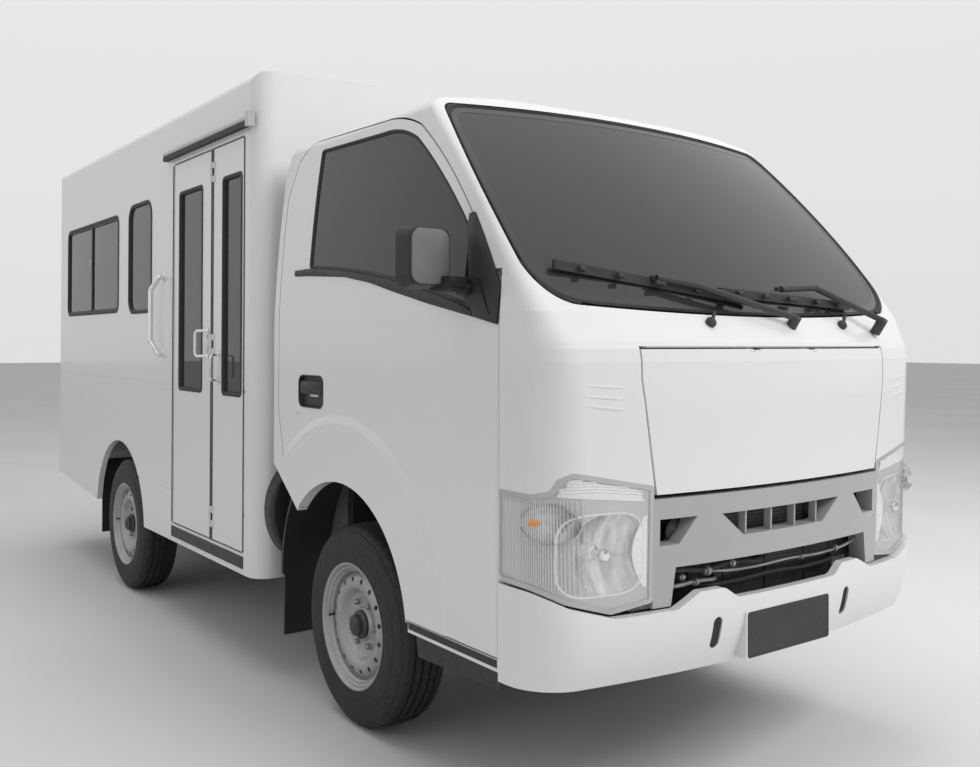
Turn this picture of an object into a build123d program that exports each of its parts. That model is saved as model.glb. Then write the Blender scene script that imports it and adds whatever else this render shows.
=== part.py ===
"""Light truck with a semi-forward cab and a boxed passenger body, in millimetres.

The front faces -Y, the vehicle's left side is +X and the wheels stand on Z = 0.
"""
import os

from build123d import *

os.makedirs("parts", exist_ok=True)

# ---------------------------------------------------------------- driving dimensions
wheelbase = 2450.0
front_overhang = 1238.0
rear_overhang = 1510.0

tyre_diameter = 700.0
tyre_width = 195.0
rim_diameter = 430.0
front_track = 1405.0
rear_track = 1530.0

cab_width = 1690.0
cab_bottom = 455.0
cab_back = 545.0          # behind the front axle
cab_roof_top = 2160.0
cab_wall = 38.0
cab_glass_depth = 6.0     # glass face behind the skin
cab_glass_thickness = 6.0
roof_half_width = 771.0
panel_gap = 6.0

box_width = 1760.0
box_front = 637.0         # behind the front axle
box_back = 3885.0         # behind the front axle
box_bottom = 395.0
box_top = 2443.0
box_wall = 30.0
box_corner = 80.0
roof_cap_height = 58.0
floor_top = 700.0
floor_thickness = 30.0

frame_half_width = 400.0
frame_bottom = 455.0
frame_height = 120.0
frame_flange = 60.0

fit_gap = 0.3             # between a pane or a pin and what holds it
running_gap = 8.0         # around a moving leaf or lid

# ---------------------------------------------------------------- stations along the vehicle
front_axle = -(wheelbase + rear_overhang - front_overhang) / 2
rear_axle = front_axle + wheelbase
axle_height = tyre_diameter / 2


def station(distance):
    """Y of a point at this distance behind the front axle."""
    return front_axle + distance


def side_prism(points, x_start, x_end):
    """A side-view outline of (distance behind the front axle, height) corners, extruded along X."""
    with BuildPart(mode=Mode.PRIVATE) as prism:
        with BuildSketch(Plane.YZ.offset(x_start)):
            with BuildLine():
                Polyline(*[(station(y), z) for y, z in points], close=True)
            make_face()
        extrude(amount=x_end - x_start)
    return prism.part


def front_prism(points, y_start, y_end):
    """A front-view outline of (x, height) corners, extruded along Y between two distances."""
    with BuildPart(mode=Mode.PRIVATE) as prism:
        with BuildSketch(Plane.XZ.offset(-station(y_start))):
            with BuildLine():
                Polyline(*points, close=True)
            make_face()
        extrude(amount=-(y_end - y_start))
    return prism.part


def block(x_range, y_range, z_range):
    """An upright block between pairs of limits, its Y limits as distances behind the front axle."""
    with BuildPart(mode=Mode.PRIVATE) as solid:
        with Locations(((x_range[0] + x_range[1]) / 2, station(sum(y_range) / 2), sum(z_range) / 2)):
            Box(abs(x_range[1] - x_range[0]), abs(y_range[1] - y_range[0]), abs(z_range[1] - z_range[0]))
    return solid.part


def rounded_side_window(y_range, z_range, radius, x_start, x_end, inset=0.0):
    """A window-shaped cutter or pane in a side wall, its corners rounded."""
    with BuildPart(mode=Mode.PRIVATE) as window:
        with BuildSketch(Plane.YZ.offset(x_start)):
            with Locations((station(sum(y_range) / 2), sum(z_range) / 2)):
                RectangleRounded(
                    y_range[1] - y_range[0] - 2 * inset, z_range[1] - z_range[0] - 2 * inset, radius - inset
                )
        extrude(amount=x_end - x_start)
    return window.part


def rounded_end_window(x_range, z_range, radius, y_start, y_end, inset=0.0):
    """A window-shaped cutter or pane in a front or rear wall, its corners rounded."""
    with BuildPart(mode=Mode.PRIVATE) as window:
        with BuildSketch(Plane.XZ.offset(-station(y_start))):
            with Locations((sum(x_range) / 2, sum(z_range) / 2)):
                RectangleRounded(
                    x_range[1] - x_range[0] - 2 * inset, z_range[1] - z_range[0] - 2 * inset, radius - inset
                )
        extrude(amount=-(y_end - y_start))
    return window.part


def on_side(solid, side):
    """A piece made for the left side, kept there (1) or mirrored to the right (-1)."""
    return solid if side > 0 else mirror(solid, about=Plane.YZ, mode=Mode.PRIVATE)


def write(builder, name):
    """Label a finished sub-part and write it."""
    builder.part.label = name
    export_step(builder.part, f"parts/{name}.step")


# ---------------------------------------------------------------- cab form
cab_half = cab_width / 2
smallest_corner = 12.0
tail_slope = 0.73         # of the cab's lower edge as it rises behind the wheel arch
belt_height = 1425.0
screen_head = 2116.0      # of the roof's front end, below its crown
roof_crown = 48.0
shoulder_radius = 75.0
roof_section_height = 2245.0
screen_foot = -1143.0     # of the windscreen's face on the centre line at the belt
screen_rake = 0.72        # run back per rise at the belt
screen_curve = 0.0002     # growth of the rake per millimetre of rise
screen_bow = 66.0         # of the windscreen's face at the belt, between its middle and its edges
roof_bow = 100.0
side_lean_share = 0.41    # of the side's lean that is straight; the rest grows with the height
lower_sections = [  # height, front face on the centre line, bow of the front, corner radius
    (cab_bottom - 20.0, -1206.0, 100.0, 150.0),
    (640.0, -1218.0, 100.0, 150.0),
    (920.0, -1224.0, 100.0, 150.0),
    (1180.0, -1231.0, 100.0, 140.0),
    (1290.0, -1229.0, 100.0, 120.0),
    (1325.0, -1222.0, 98.0, 110.0),
    (1345.0, -1211.0, 95.0, 100.0),
    (1365.0, -1195.0, 89.0, 90.0),
    (1395.0, -1168.0, 78.0, 76.0),
]
greenhouse_corners = (60.0, 35.0, 32.0, 36.0, 40.0)   # corner radii at even heights from the belt up


def screen_front(height):
    """Distance of the greenhouse's front face on the centre line at a height above the belt."""
    rise = height - belt_height
    return screen_foot + screen_rake * rise + screen_curve * rise ** 2


def bow_at(height):
    """Bow of the greenhouse's front at a height above the belt."""
    share = (height - belt_height) / (roof_section_height - belt_height)
    return screen_bow + (roof_bow - screen_bow) * share ** 2


def cab_side(height):
    """Half-width of the cab at a height: upright to the belt, then curving in to the roof."""
    share = max(0.0, height - belt_height) / (cab_roof_top - belt_height)
    lean = side_lean_share * share + (1 - side_lean_share) * share ** 2
    return cab_half - (cab_half - roof_half_width) * lean


def plan_section(height, front, bow, corner, inset):
    """The cab's outline in plan at one height: bowed front, rounded corners, straight sides."""
    edge = cab_side(height) - inset
    nose = station(front) + inset
    back = station(cab_back) + 100
    with BuildSketch(Plane.XY.offset(height)) as section:
        with BuildLine():
            ThreePointArc((-edge, nose + bow), (0, nose), (edge, nose + bow))
            Polyline((edge, nose + bow), (edge, back), (-edge, back), (-edge, nose + bow))
        make_face()
        fillet(section.vertices().group_by(Axis.Y)[0], max(corner - inset, smallest_corner))
    return section.sketch.face()


def greenhouse_section(index, inset):
    """Plan section of the greenhouse, counted up from the belt."""
    height = belt_height + (roof_section_height - belt_height) * index / (len(greenhouse_corners) - 1)
    return plan_section(height, screen_front(height), bow_at(height), greenhouse_corners[index], inset)


def cab_form(inset):
    """The closed form of the cab, drawn in by an even inset."""
    crown = cab_roof_top - inset
    head = screen_head - inset
    margin = 3.0
    with BuildPart(mode=Mode.PRIVATE) as form:
        loft(sections=[plan_section(*section, inset) for section in lower_sections]
             + [greenhouse_section(0, inset)], ruled=True)
        loft(sections=[greenhouse_section(index, inset) for index in range(len(greenhouse_corners))])
        # front view: curved sides, rounded shoulders and a crowned roof
        shoulder = crown - roof_crown
        middle = (belt_height + shoulder) / 2
        side, middle_side = cab_half - inset + margin, cab_side(middle) - inset + margin
        roof_side = cab_side(shoulder) - inset + margin
        with BuildSketch(Plane.XZ.offset(-station(-1400))) as front_view:
            with BuildLine():
                ThreePointArc((-roof_side, shoulder), (-middle_side, middle), (-side, belt_height))
                Polyline((-side, belt_height), (-side, cab_bottom - 30), (side, cab_bottom - 30),
                         (side, belt_height))
                ThreePointArc((side, belt_height), (middle_side, middle), (roof_side, shoulder))
                ThreePointArc((roof_side, shoulder), (0, crown), (-roof_side, shoulder))
            make_face()
            fillet(front_view.vertices().group_by(Axis.Y)[-1], shoulder_radius - inset)
        extrude(amount=-2200, mode=Mode.INTERSECT)
        # side view: the roof falls to the windscreen head and rounds into the back wall
        back = cab_back - inset
        with BuildSketch(Plane.YZ.offset(-1000)) as side_view:
            with BuildLine():
                Polyline((station(-700 + inset), head), (station(-1400), head),
                         (station(-1400), cab_bottom - 10), (station(300), cab_bottom - 10),
                         (station(300), 690), (station(back), 690 + (back - 300) * tail_slope),
                         (station(back), crown), (station(-60), crown))
                ThreePointArc((station(-60), crown), (station(-380), crown - 12), (station(-700 + inset), head))
            make_face()
            corner = side_view.vertices().sort_by(lambda v: v.X + v.Y + v.Z)[-1]
            fillet(corner, 190 - inset)
        extrude(amount=2000, mode=Mode.INTERSECT)
    return form.part


cab_outer = cab_form(0)
cab_inner = cab_form(cab_wall)
glass_outer = cab_form(cab_glass_depth)
glass_inner = cab_form(cab_glass_depth + cab_glass_thickness)

# ---------------------------------------------------------------- cab door outline
door_front = -926.0
door_rear = 505.0
door_bottom = 478.0
door_top = 2098.0
belt_rear = 1609.0        # of the window's lower edge at the back
arch_radius = 455.0
arch_centre = 400.0
flare_radius = 692.0      # of the raised field round the wheel arch
flare_ramp = 34.0
flare_height = 5.0
hinge_radius = 12.0       # of the door's leading edge about its hinge pins


def front_arch(x_start, x_end, radius=arch_radius):
    """The round wheel arch over the front axle, as a cutter along X."""
    with BuildPart(mode=Mode.PRIVATE) as arch:
        with BuildSketch(Plane.YZ.offset(x_start)):
            with Locations((front_axle, arch_centre)):
                Circle(radius)
            with Locations((front_axle, arch_centre / 2)):
                Rectangle(2 * radius, arch_centre)
        extrude(amount=x_end - x_start)
    return arch.part


def cab_door_region(gap):
    """Side view of the left door's opening, drawn in by a gap and extruded across the wall."""
    with BuildPart(mode=Mode.PRIVATE) as region:
        with BuildSketch(Plane.YZ.offset(cab_half - 160)) as outline:
            with BuildLine():
                Polyline((station(-200), door_top - 12), (station(330), door_top + 5),
                         (station(door_rear - 65), 2040), (station(door_rear), 1900), (station(door_rear), 1080),
                         (station(door_rear - 45), 900), (station(300), 690), (station(300), arch_centre),
                         (station(-arch_radius), arch_centre), (station(-arch_radius), door_bottom),
                         (station(door_front), door_bottom), (station(door_front), 1480))
                ThreePointArc((station(door_front), 1480), (station(-695), 1808), (station(-439), 2033))
                ThreePointArc((station(-439), 2033), (station(-340), 2069), (station(-200), door_top - 12))
            make_face()
            if gap:
                offset(amount=-gap)
        extrude(amount=240)
    return region.part


def cab_window_region(gap):
    """Side view of the left door's window, drawn in by a gap."""
    with BuildPart(mode=Mode.PRIVATE) as region:
        with BuildSketch(Plane.YZ.offset(cab_half - 160)) as outline:
            with BuildLine():
                Line((station(-200), 2045), (station(255), 2055))
                Line((station(255), 2055), (station(262), belt_rear))
                ThreePointArc((station(262), belt_rear), (station(-300), 1545), (station(-790), 1434))
                Line((station(-790), 1434), (station(-756), 1684))
                ThreePointArc((station(-756), 1684), (station(-590), 1858), (station(-430), 1991))
                ThreePointArc((station(-430), 1991), (station(-330), 2031), (station(-200), 2045))
            make_face()
            fillet(outline.vertices().sort_by(Axis.X)[-2:], 16)
            if gap:
                offset(amount=-gap)
        extrude(amount=240)
    return region.part


# ---------------------------------------------------------------- front lid, lamps and grille outlines
lid_bottom = 924.0
lid_top = 1333.0
lid_thickness = 24.0
lid_half_bottom = 513.0
lid_half_top = 565.0
lid_top_gap = 8.0
lid_hinge_inset = 6.0     # of the hinge pins behind the skin and below the lid's top edge


lid_shoulder = 90.0       # of the lid's side that runs straight down from its top corner


def lid_region(side_gap, top_gap):
    """Front view of the front lid's opening, drawn in by its gaps."""
    bottom, top = lid_bottom + side_gap, lid_top - top_gap
    low, high = lid_half_bottom - side_gap, lid_half_top - side_gap
    shoulder = lid_top - lid_shoulder
    return front_prism([(-low, bottom), (low, bottom), (high, shoulder), (high, top), (-high, top),
                        (-high, shoulder)], -1300, -1120)


lamp_inner_edge = lid_half_bottom + 4
lamp_bottom_inner = 640.0


def lamp_region(gap):
    """Front view of the left lamp's opening, drawn in by a gap and extruded through the corner."""
    with BuildPart(mode=Mode.PRIVATE) as region:
        with BuildSketch(Plane.XZ.offset(-station(-1300))) as outline:
            with BuildLine():
                Polyline((lamp_inner_edge, 955), (lamp_inner_edge, lamp_bottom_inner), (650, 622), (780, 660),
                         (cab_half + 30, 712), (cab_half + 30, 948), (838, 944), (812, 956), (800, 986),
                         (766, 1003), (lamp_inner_edge, 955))
            make_face()
            fillet(outline.vertices(), 9)
            if gap:
                offset(amount=-gap)
        extrude(amount=-(door_front - panel_gap + 1300))
    return region.part


grille_top = 918.0
grille_bottom = 727.0
grille_foot = 622.0

# ---------------------------------------------------------------- cab shell
foot_floor = 620.0
seat_deck = 905.0
floor_sheet = 30.0

door_hinge_x = cab_half - hinge_radius
door_hinge_y = station(door_front + panel_gap + hinge_radius)
door_pin_radius = 5.0
door_relief_radius = 22.0
door_relief_length = 146.0
door_relief_height = 1473.0
lid_hinge_y = station(-1223.0 + lid_hinge_inset)
lid_hinge_z = lid_top - lid_top_gap - lid_hinge_inset
lid_hinge_x = 130.0
lid_pin_radius = 3.0
door_opening = cab_door_region(0)
screen_bottom = 1452.0    # of the windscreen opening's lower corners
screen_dip = 32.0         # of its lower edge on the centre line
screen_half = 812.0
screen_top = 2098.0       # of its upper corners
screen_top_half = 746.0
screen_crown = 16.0       # of its upper edge on the centre line
rear_window = ((-560.0, 560.0), (1480.0, 1960.0), 60.0)


def windscreen_region(gap):
    """Front view of the windscreen's opening, drawn in by a gap and extruded through the front."""
    half, bottom = screen_half - gap, screen_bottom + gap
    top_half, top = screen_top_half - gap, screen_top - gap
    with BuildPart(mode=Mode.PRIVATE) as region:
        with BuildSketch(Plane.XZ.offset(-station(-1300))) as outline:
            with BuildLine():
                ThreePointArc((-half, bottom), (0, bottom - screen_dip), (half, bottom))
                ThreePointArc((half, bottom), (half - 2, 1750), (top_half, top))
                ThreePointArc((top_half, top), (0, top + screen_crown), (-top_half, top))
                ThreePointArc((-top_half, top), (-half + 2, 1750), (-half, bottom))
            make_face()
            fillet(outline.vertices().group_by(Axis.Y)[0], 130 - gap)
            fillet(outline.vertices().group_by(Axis.Y)[-1], 45 - gap)
        extrude(amount=-920)
    return region.part


def lid_tongue(side):
    """A hinge tongue that hangs from the cowl behind the lid's top edge and carries a pin."""
    x, near, far = side * lid_hinge_x, lid_hinge_y - 2.2, lid_hinge_y + 36
    with BuildPart(mode=Mode.PRIVATE) as tongue:
        with BuildSketch(Plane.YZ.offset(x - 10)):
            with BuildLine():
                Polyline((near, lid_hinge_z - 2.8), (far, lid_hinge_z - 2.8), (far, lid_top + 6),
                         (far - 9, lid_top + 6), (far - 9, lid_hinge_z + 2.8), (near, lid_hinge_z + 2.8),
                         close=True)
            make_face()
        extrude(amount=20)
        with Locations(Location((x, lid_hinge_y, lid_hinge_z), (0, 90, 0))):
            Cylinder(lid_pin_radius, 46)
    return tongue.part


with BuildPart() as cab_shell:
    add(cab_outer)
    add(cab_inner, mode=Mode.SUBTRACT)
    for side in (1, -1):
        add(on_side(door_opening, side), mode=Mode.SUBTRACT)
    # bent floor sheet: foot floor, riser and seat deck, with the front bulkhead
    floor_half = cab_half - cab_wall - panel_gap
    add(side_prism([(-1080, 1400), (-1080, foot_floor - floor_sheet), (-505, foot_floor - floor_sheet),
                    (-505, seat_deck - floor_sheet), (cab_back - cab_wall + 5, seat_deck - floor_sheet),
                    (cab_back - cab_wall + 5, seat_deck), (-535, seat_deck), (-535, foot_floor),
                    (-1050, foot_floor), (-1050, 1400)], -floor_half, floor_half))
    for side in (1, -1):  # rocker web that joins the sill under the door to the foot floor
        add(block((side * (floor_half - 26), side * floor_half), (door_front - 30, -arch_radius),
                  (cab_bottom - 10, foot_floor)))
        add(block((side * (floor_half - 26), side * (cab_half - 2)), (door_front, -arch_radius),
                  (cab_bottom - 10, door_bottom)))
    for side in (1, -1):
        add(on_side(front_arch(cab_half - 160, cab_half + 60), side), mode=Mode.SUBTRACT)
    add(windscreen_region(0), mode=Mode.SUBTRACT)
    add(rounded_end_window(*rear_window, cab_back - 120, cab_back + 60), mode=Mode.SUBTRACT)
    add(lid_region(0, 0), mode=Mode.SUBTRACT)
    # the nose below the lid is open for the lamps, the grille and the bumper
    add(front_prism([(-lamp_inner_edge, lamp_bottom_inner + 310), (-lamp_inner_edge, 300), (lamp_inner_edge, 300),
                     (lamp_inner_edge, lamp_bottom_inner + 310)], -1300, -1130), mode=Mode.SUBTRACT)
    for side in (1, -1):
        add(on_side(lamp_region(0), side), mode=Mode.SUBTRACT)
        add(block((side * 790, side * 900), (door_front - panel_gap - 1, door_front), (712, 944)),
            mode=Mode.SUBTRACT)
        add(block((side * 500, side * 900), (-1300, door_front), (300, 700)), mode=Mode.SUBTRACT)
        # room for the door's upper front corner as it swings
        with Locations((side * door_hinge_x, door_hinge_y, door_relief_height)):
            Cylinder(door_relief_radius, door_relief_length, mode=Mode.SUBTRACT)
        # door pivot pin on the sill, and the lid's hinge tongue with its pin
        with Locations((side * door_hinge_x, door_hinge_y, door_bottom + 10)):
            Cylinder(door_pin_radius, 24)
        add(lid_tongue(side))
write(cab_shell, "cab_shell")

with BuildPart() as cab_glass:
    add(windscreen_region(fit_gap))
    add(glass_outer, mode=Mode.INTERSECT)
    add(glass_inner, mode=Mode.SUBTRACT)
    add(rounded_end_window(*rear_window, cab_back - 18, cab_back - 12, fit_gap))
write(cab_glass, "cab_glass")

# ---------------------------------------------------------------- cab doors with glass and mirrors


def cab_door_leading_edge():
    """Plan view that rounds the door's leading edge about the hinge pins."""
    edge = station(door_front + panel_gap)
    with BuildPart(mode=Mode.PRIVATE) as region:
        with BuildSketch(Plane.XY.offset(door_bottom - 60)):
            with BuildLine():
                Polyline((cab_half - 200, edge), (door_hinge_x, edge))
                TangentArc((door_hinge_x, edge), (cab_half, door_hinge_y), tangent=(1, 0))
                Polyline((cab_half, door_hinge_y), (cab_half + 40, door_hinge_y),
                         (cab_half + 40, station(900)),
                         (cab_half - 200, station(900)), (cab_half - 200, edge))
            make_face()
        extrude(amount=1900)
    return region.part


def door_handle_cup():
    """The recess behind the outside door handle."""
    with BuildPart(mode=Mode.PRIVATE) as cup:
        with BuildSketch(Plane.YZ.offset(cab_half - 14)):
            with Locations((station(225), 1160)):
                RectangleRounded(200, 120, 30)
        extrude(amount=40)
    return cup.part


def arch_flare():
    """The raised field that the left door's skin carries round the wheel arch."""
    with BuildPart(mode=Mode.PRIVATE) as flare:
        with Locations(Plane((cab_half - 1, front_axle, arch_centre), z_dir=(1, 0, 0))):
            Cone(flare_radius, flare_radius - flare_ramp, flare_height + 1,
                 align=(Align.CENTER, Align.CENTER, Align.MIN))
    return flare.part


for side, name in ((1, "left"), (-1, "right")):
    with BuildPart() as cab_door:
        add(cab_outer)
        add(on_side(arch_flare(), side))
        add(cab_inner, mode=Mode.SUBTRACT)
        add(on_side(cab_door_region(panel_gap), side), mode=Mode.INTERSECT)
        add(on_side(cab_door_leading_edge(), side), mode=Mode.INTERSECT)
        add(on_side(front_arch(cab_half - 160, cab_half + 60), side), mode=Mode.SUBTRACT)
        add(on_side(cab_window_region(0), side), mode=Mode.SUBTRACT)
        add(on_side(door_handle_cup(), side), mode=Mode.SUBTRACT)
        with Locations((side * door_hinge_x, door_hinge_y, door_bottom + 10)):
            Cylinder(door_pin_radius + fit_gap, 30, mode=Mode.SUBTRACT)
    write(cab_door, f"cab_door_{name}")

    with BuildPart() as door_glass:
        add(glass_outer)
        add(glass_inner, mode=Mode.SUBTRACT)
        add(on_side(cab_window_region(fit_gap), side), mode=Mode.INTERSECT)
    write(door_glass, f"door_glass_{name}")

mirror_centre = (952.0, -715.0, 1584.0)   # x, distance behind the front axle, height
mirror_size = (156.0, 64.0, 180.0)

with BuildPart() as mirror_left:
    with BuildSketch(Plane.XZ.offset(-station(mirror_centre[1] + mirror_size[1] / 2))):
        with Locations((mirror_centre[0], mirror_centre[2])):
            RectangleRounded(mirror_size[0], mirror_size[2], 36)
    extrude(amount=mirror_size[1], taper=9)
    fillet(mirror_left.faces().sort_by(Axis.Y)[0].edges(), 14)
    # foot on the sail panel and the short arm to the housing's lower inner corner
    with BuildSketch(Plane.YZ.offset(cab_half + fit_gap)):
        with BuildLine():
            Polyline((station(-884), 1420), (station(-770), 1446), (station(-745), 1520), (station(-830), 1520),
                     close=True)
        make_face()
    extrude(amount=8)
    with BuildSketch(Plane.YZ.offset(cab_half + 8)):
        with Locations((station(-775), 1494)):
            SlotOverall(62, 34)
    extrude(amount=16)
    with BuildSketch(Plane.YZ.offset(cab_half + 14)):
        with Locations((station(-740), 1508)):
            RectangleRounded(110, 40, 16)
    extrude(amount=60)
write(mirror_left, "mirror_left")

with BuildPart() as mirror_right:
    mirror(mirror_left.part, about=Plane.YZ)
write(mirror_right, "mirror_right")

# ---------------------------------------------------------------- front lid, headlamps, grille, bumper
lid_inner = cab_form(lid_thickness)

with BuildPart() as front_lid:
    add(cab_outer)
    add(lid_inner, mode=Mode.SUBTRACT)
    add(lid_region(panel_gap, lid_top_gap), mode=Mode.INTERSECT)
    for side in (1, -1):
        with Locations((side * lid_hinge_x, lid_hinge_y + 12, lid_hinge_z + 2)):
            Box(32, 32, 16, mode=Mode.SUBTRACT)
        with Locations(Location((side * lid_hinge_x, lid_hinge_y, lid_hinge_z), (0, 90, 0))):
            Cylinder(lid_pin_radius + fit_gap, 52, mode=Mode.SUBTRACT)
write(front_lid, "front_lid")

lamp_depth = 70.0
lamp_bezel = 13.0
lens_thickness = 4.0
bowl_centre = (674.0, -1280.0, 782.0)    # x, distance behind the front axle, height
bowl_radius = 172.0
bowl_half = (126.0, 110.0)
turn_ends = ((852.0, -1010.0), (762.0, -1176.0))   # of the indicator's reflector in plan
turn_height = 868.0
turn_half = 54.0
lamp_inner = cab_form(lamp_depth)
lens_inner = cab_form(lens_thickness)
lens_back = cab_form(lens_thickness + fit_gap)


def lamp_bowl():
    """The left lamp's main reflector: a dish cut to a rounded square."""
    with BuildPart(mode=Mode.PRIVATE) as bowl:
        with Locations((bowl_centre[0], station(bowl_centre[1]), bowl_centre[2])):
            Sphere(bowl_radius)
        with BuildSketch(Plane.XZ.offset(-station(-1300))):
            with Locations((bowl_centre[0], bowl_centre[2])):
                RectangleRounded(2 * bowl_half[0], 2 * bowl_half[1], 70)
        extrude(amount=-300, mode=Mode.INTERSECT)
    return bowl.part


def turn_bowl():
    """The left indicator's reflector: a pointed oval round the corner."""
    back, front = (Vector(x, station(y), turn_height) for x, y in turn_ends)
    length = (front - back).length
    with BuildPart(mode=Mode.PRIVATE) as bowl:
        with BuildSketch(Plane(back, x_dir=front - back, z_dir=(0, 0, 1))):
            with BuildLine():
                ThreePointArc((0, 0), (length / 2, turn_half), (length, 0))
                Line((length, 0), (0, 0))
            make_face()
        revolve(axis=Axis(back, front - back))
    return bowl.part


def lens_seat():
    """The recess that the left lamp's lens lies in."""
    with BuildPart(mode=Mode.PRIVATE) as seat:
        add(lamp_region(lamp_bezel))
        add(lens_back, mode=Mode.SUBTRACT)
    return seat.part


with BuildPart() as headlamps:
    for side in (1, -1):
        add(on_side(lamp_region(fit_gap), side))
    add(cab_outer, mode=Mode.INTERSECT)
    add(lamp_inner, mode=Mode.SUBTRACT)
    for side in (1, -1):
        add(on_side(lens_seat(), side), mode=Mode.SUBTRACT)
        add(on_side(lamp_bowl(), side), mode=Mode.SUBTRACT)
        add(on_side(turn_bowl(), side), mode=Mode.SUBTRACT)
write(headlamps, "headlamps")

with BuildPart() as headlamp_lenses:
    for side in (1, -1):
        add(on_side(lamp_region(lamp_bezel + fit_gap), side))
    add(cab_outer, mode=Mode.INTERSECT)
    add(lens_inner, mode=Mode.SUBTRACT)
write(headlamp_lenses, "headlamp_lenses")

grille_depth = 55.0
rib_setback = 10.0
rib_places = (-165.0, -55.0, 55.0, 165.0)
rib_width = 6.0
rib_depth = 25.0
grille_opening = ((272.0, 860.0), (185.0, 792.0))
rib_outer = cab_form(rib_setback)
rib_inner = cab_form(rib_setback + rib_depth)


def grille_rib(x, bottom, top):
    """A thin upright rib across the grille's middle opening."""
    with BuildPart(mode=Mode.PRIVATE) as rib:
        add(block((x - rib_width / 2, x + rib_width / 2), (-1300, -1100), (bottom - 4, top + 4)))
        add(rib_outer, mode=Mode.INTERSECT)
        add(rib_inner, mode=Mode.SUBTRACT)
    return rib.part


with BuildPart() as grille:
    add(front_prism([(-lamp_inner_edge, grille_top), (-lamp_inner_edge, grille_foot), (-455, grille_foot),
                     (-440, grille_bottom), (440, grille_bottom), (455, grille_foot),
                     (lamp_inner_edge, grille_foot), (lamp_inner_edge, grille_top)], -1300, -1130))
    add(cab_outer, mode=Mode.INTERSECT)
    add(cab_form(grille_depth), mode=Mode.SUBTRACT)
    (top_half, top), (bottom_half, bottom) = grille_opening
    add(front_prism([(-top_half, top), (-bottom_half, bottom), (bottom_half, bottom), (top_half, top)],
                    -1300, -1100), mode=Mode.SUBTRACT)
    for side in (1, -1):
        add(front_prism([(side * 365, 862), (side * 496, 862), (side * 496, 790), (side * 430, 790)],
                        -1300, -1100), mode=Mode.SUBTRACT)
    for x in rib_places:
        add(grille_rib(x, bottom, top))
write(grille, "grille")

bumper_proud = 8.0
bumper_thickness = 26.0
plate_seat_depth = 3.0    # of the flat for the number plate behind the nose
plate_seat_width = 390.0
plate_seat_height = 134.0
plate_centre_height = 507.0
plate_pad_depth = 58.0
plate_hole_spacing = 290.0
plate_hole_radius = 3.5


bumper_sections = (       # height, nose
    (426.0, -1188.0),
    (518.0, -1225.0),
    (610.0, -front_overhang),
    (702.0, -1226.0),
)


def bumper_plan(inset):
    """The bumper's closed form: a leaning nose, rounded corners and ends at the doors."""
    edge = cab_half + bumper_proud - inset
    faces = []
    for height, front in bumper_sections:
        nose = station(front) + inset
        with BuildSketch(Plane.XY.offset(height)) as section:
            with BuildLine():
                ThreePointArc((-edge, nose + 100), (0, nose), (edge, nose + 100))
                Polyline((edge, nose + 100), (edge, station(door_front - panel_gap)),
                         (-edge, station(door_front - panel_gap)), (-edge, nose + 100))
            make_face()
            fillet(section.vertices().group_by(Axis.Y)[0], 160 - inset)
        faces.append(section.sketch.face())
    with BuildPart(mode=Mode.PRIVATE) as plan:
        loft(sections=faces)
    return plan.part


with BuildPart() as front_bumper:
    add(bumper_plan(0))
    add(bumper_plan(bumper_thickness), mode=Mode.SUBTRACT)
    with BuildSketch(Plane.XZ.offset(-station(-1300))) as upper_edge:
        with BuildLine():
            Polyline((-900, 700), (-900, 300), (900, 300), (900, 700), (846, 690), (780, 654), (650, 616),
                     (450, 616), (366, 655), (275, 655), (225, 622), (-225, 622), (-275, 655), (-366, 655),
                     (-450, 616), (-650, 616), (-780, 654), (-846, 690), close=True)
        make_face()
        fillet([v for v in upper_edge.vertices() if abs(v.X) < 700], 36)
    extrude(amount=-400, mode=Mode.INTERSECT)
    for side in (1, -1):
        with BuildSketch(Plane.XZ.offset(-station(-front_overhang - 40))):
            with Locations((side * 300, 530)):
                SlotOverall(92, 34, rotation=90)
        extrude(amount=-140, mode=Mode.SUBTRACT)
    # flat seat with two holes for a number plate
    with BuildSketch(Plane.XZ.offset(-station(-front_overhang))):
        with Locations((0, plate_centre_height)):
            Rectangle(plate_seat_width, plate_seat_height)
    extrude(amount=-plate_seat_depth, mode=Mode.SUBTRACT)
    with BuildSketch(Plane.XZ.offset(-station(-front_overhang + plate_seat_depth))):
        with Locations((0, plate_centre_height)):
            Rectangle(plate_seat_width, plate_seat_height)
            with GridLocations(plate_hole_spacing, 1, 2, 1):
                Circle(plate_hole_radius, mode=Mode.SUBTRACT)
    extrude(amount=-plate_pad_depth)
    with BuildSketch(Plane.XZ.offset(-station(-front_overhang))):
        with Locations((0, plate_centre_height)):
            with GridLocations(plate_hole_spacing, 1, 2, 1):
                Circle(plate_hole_radius)
    extrude(amount=-2 * plate_pad_depth, mode=Mode.SUBTRACT)
write(front_bumper, "front_bumper")

# ---------------------------------------------------------------- wipers, steps and mudguards
wipers_layout = (         # (x, height) of the pivot, arm's elbow, blade's clip, blade's tip and heel
    ((100, 1400), (-255, 1506), (-400, 1528), (-725, 1556), (-60, 1470)),
    ((565, 1400), (308, 1522), (130, 1512), (-160, 1494), (486, 1466)),
)


def glass_face(x, height):
    """Y of the windscreen's outer face at a point seen from the front."""
    return station(screen_front(height)) + bow_at(height) * (x / cab_half) ** 2


wiper_arm_radius = 10.0
wiper_blade = (16.0, 26.0)


def off_glass(point, distance):
    """A point this far in front of the windscreen, its place seen from the front."""
    return Vector(point[0], glass_face(*point) - distance, point[1])


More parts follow.
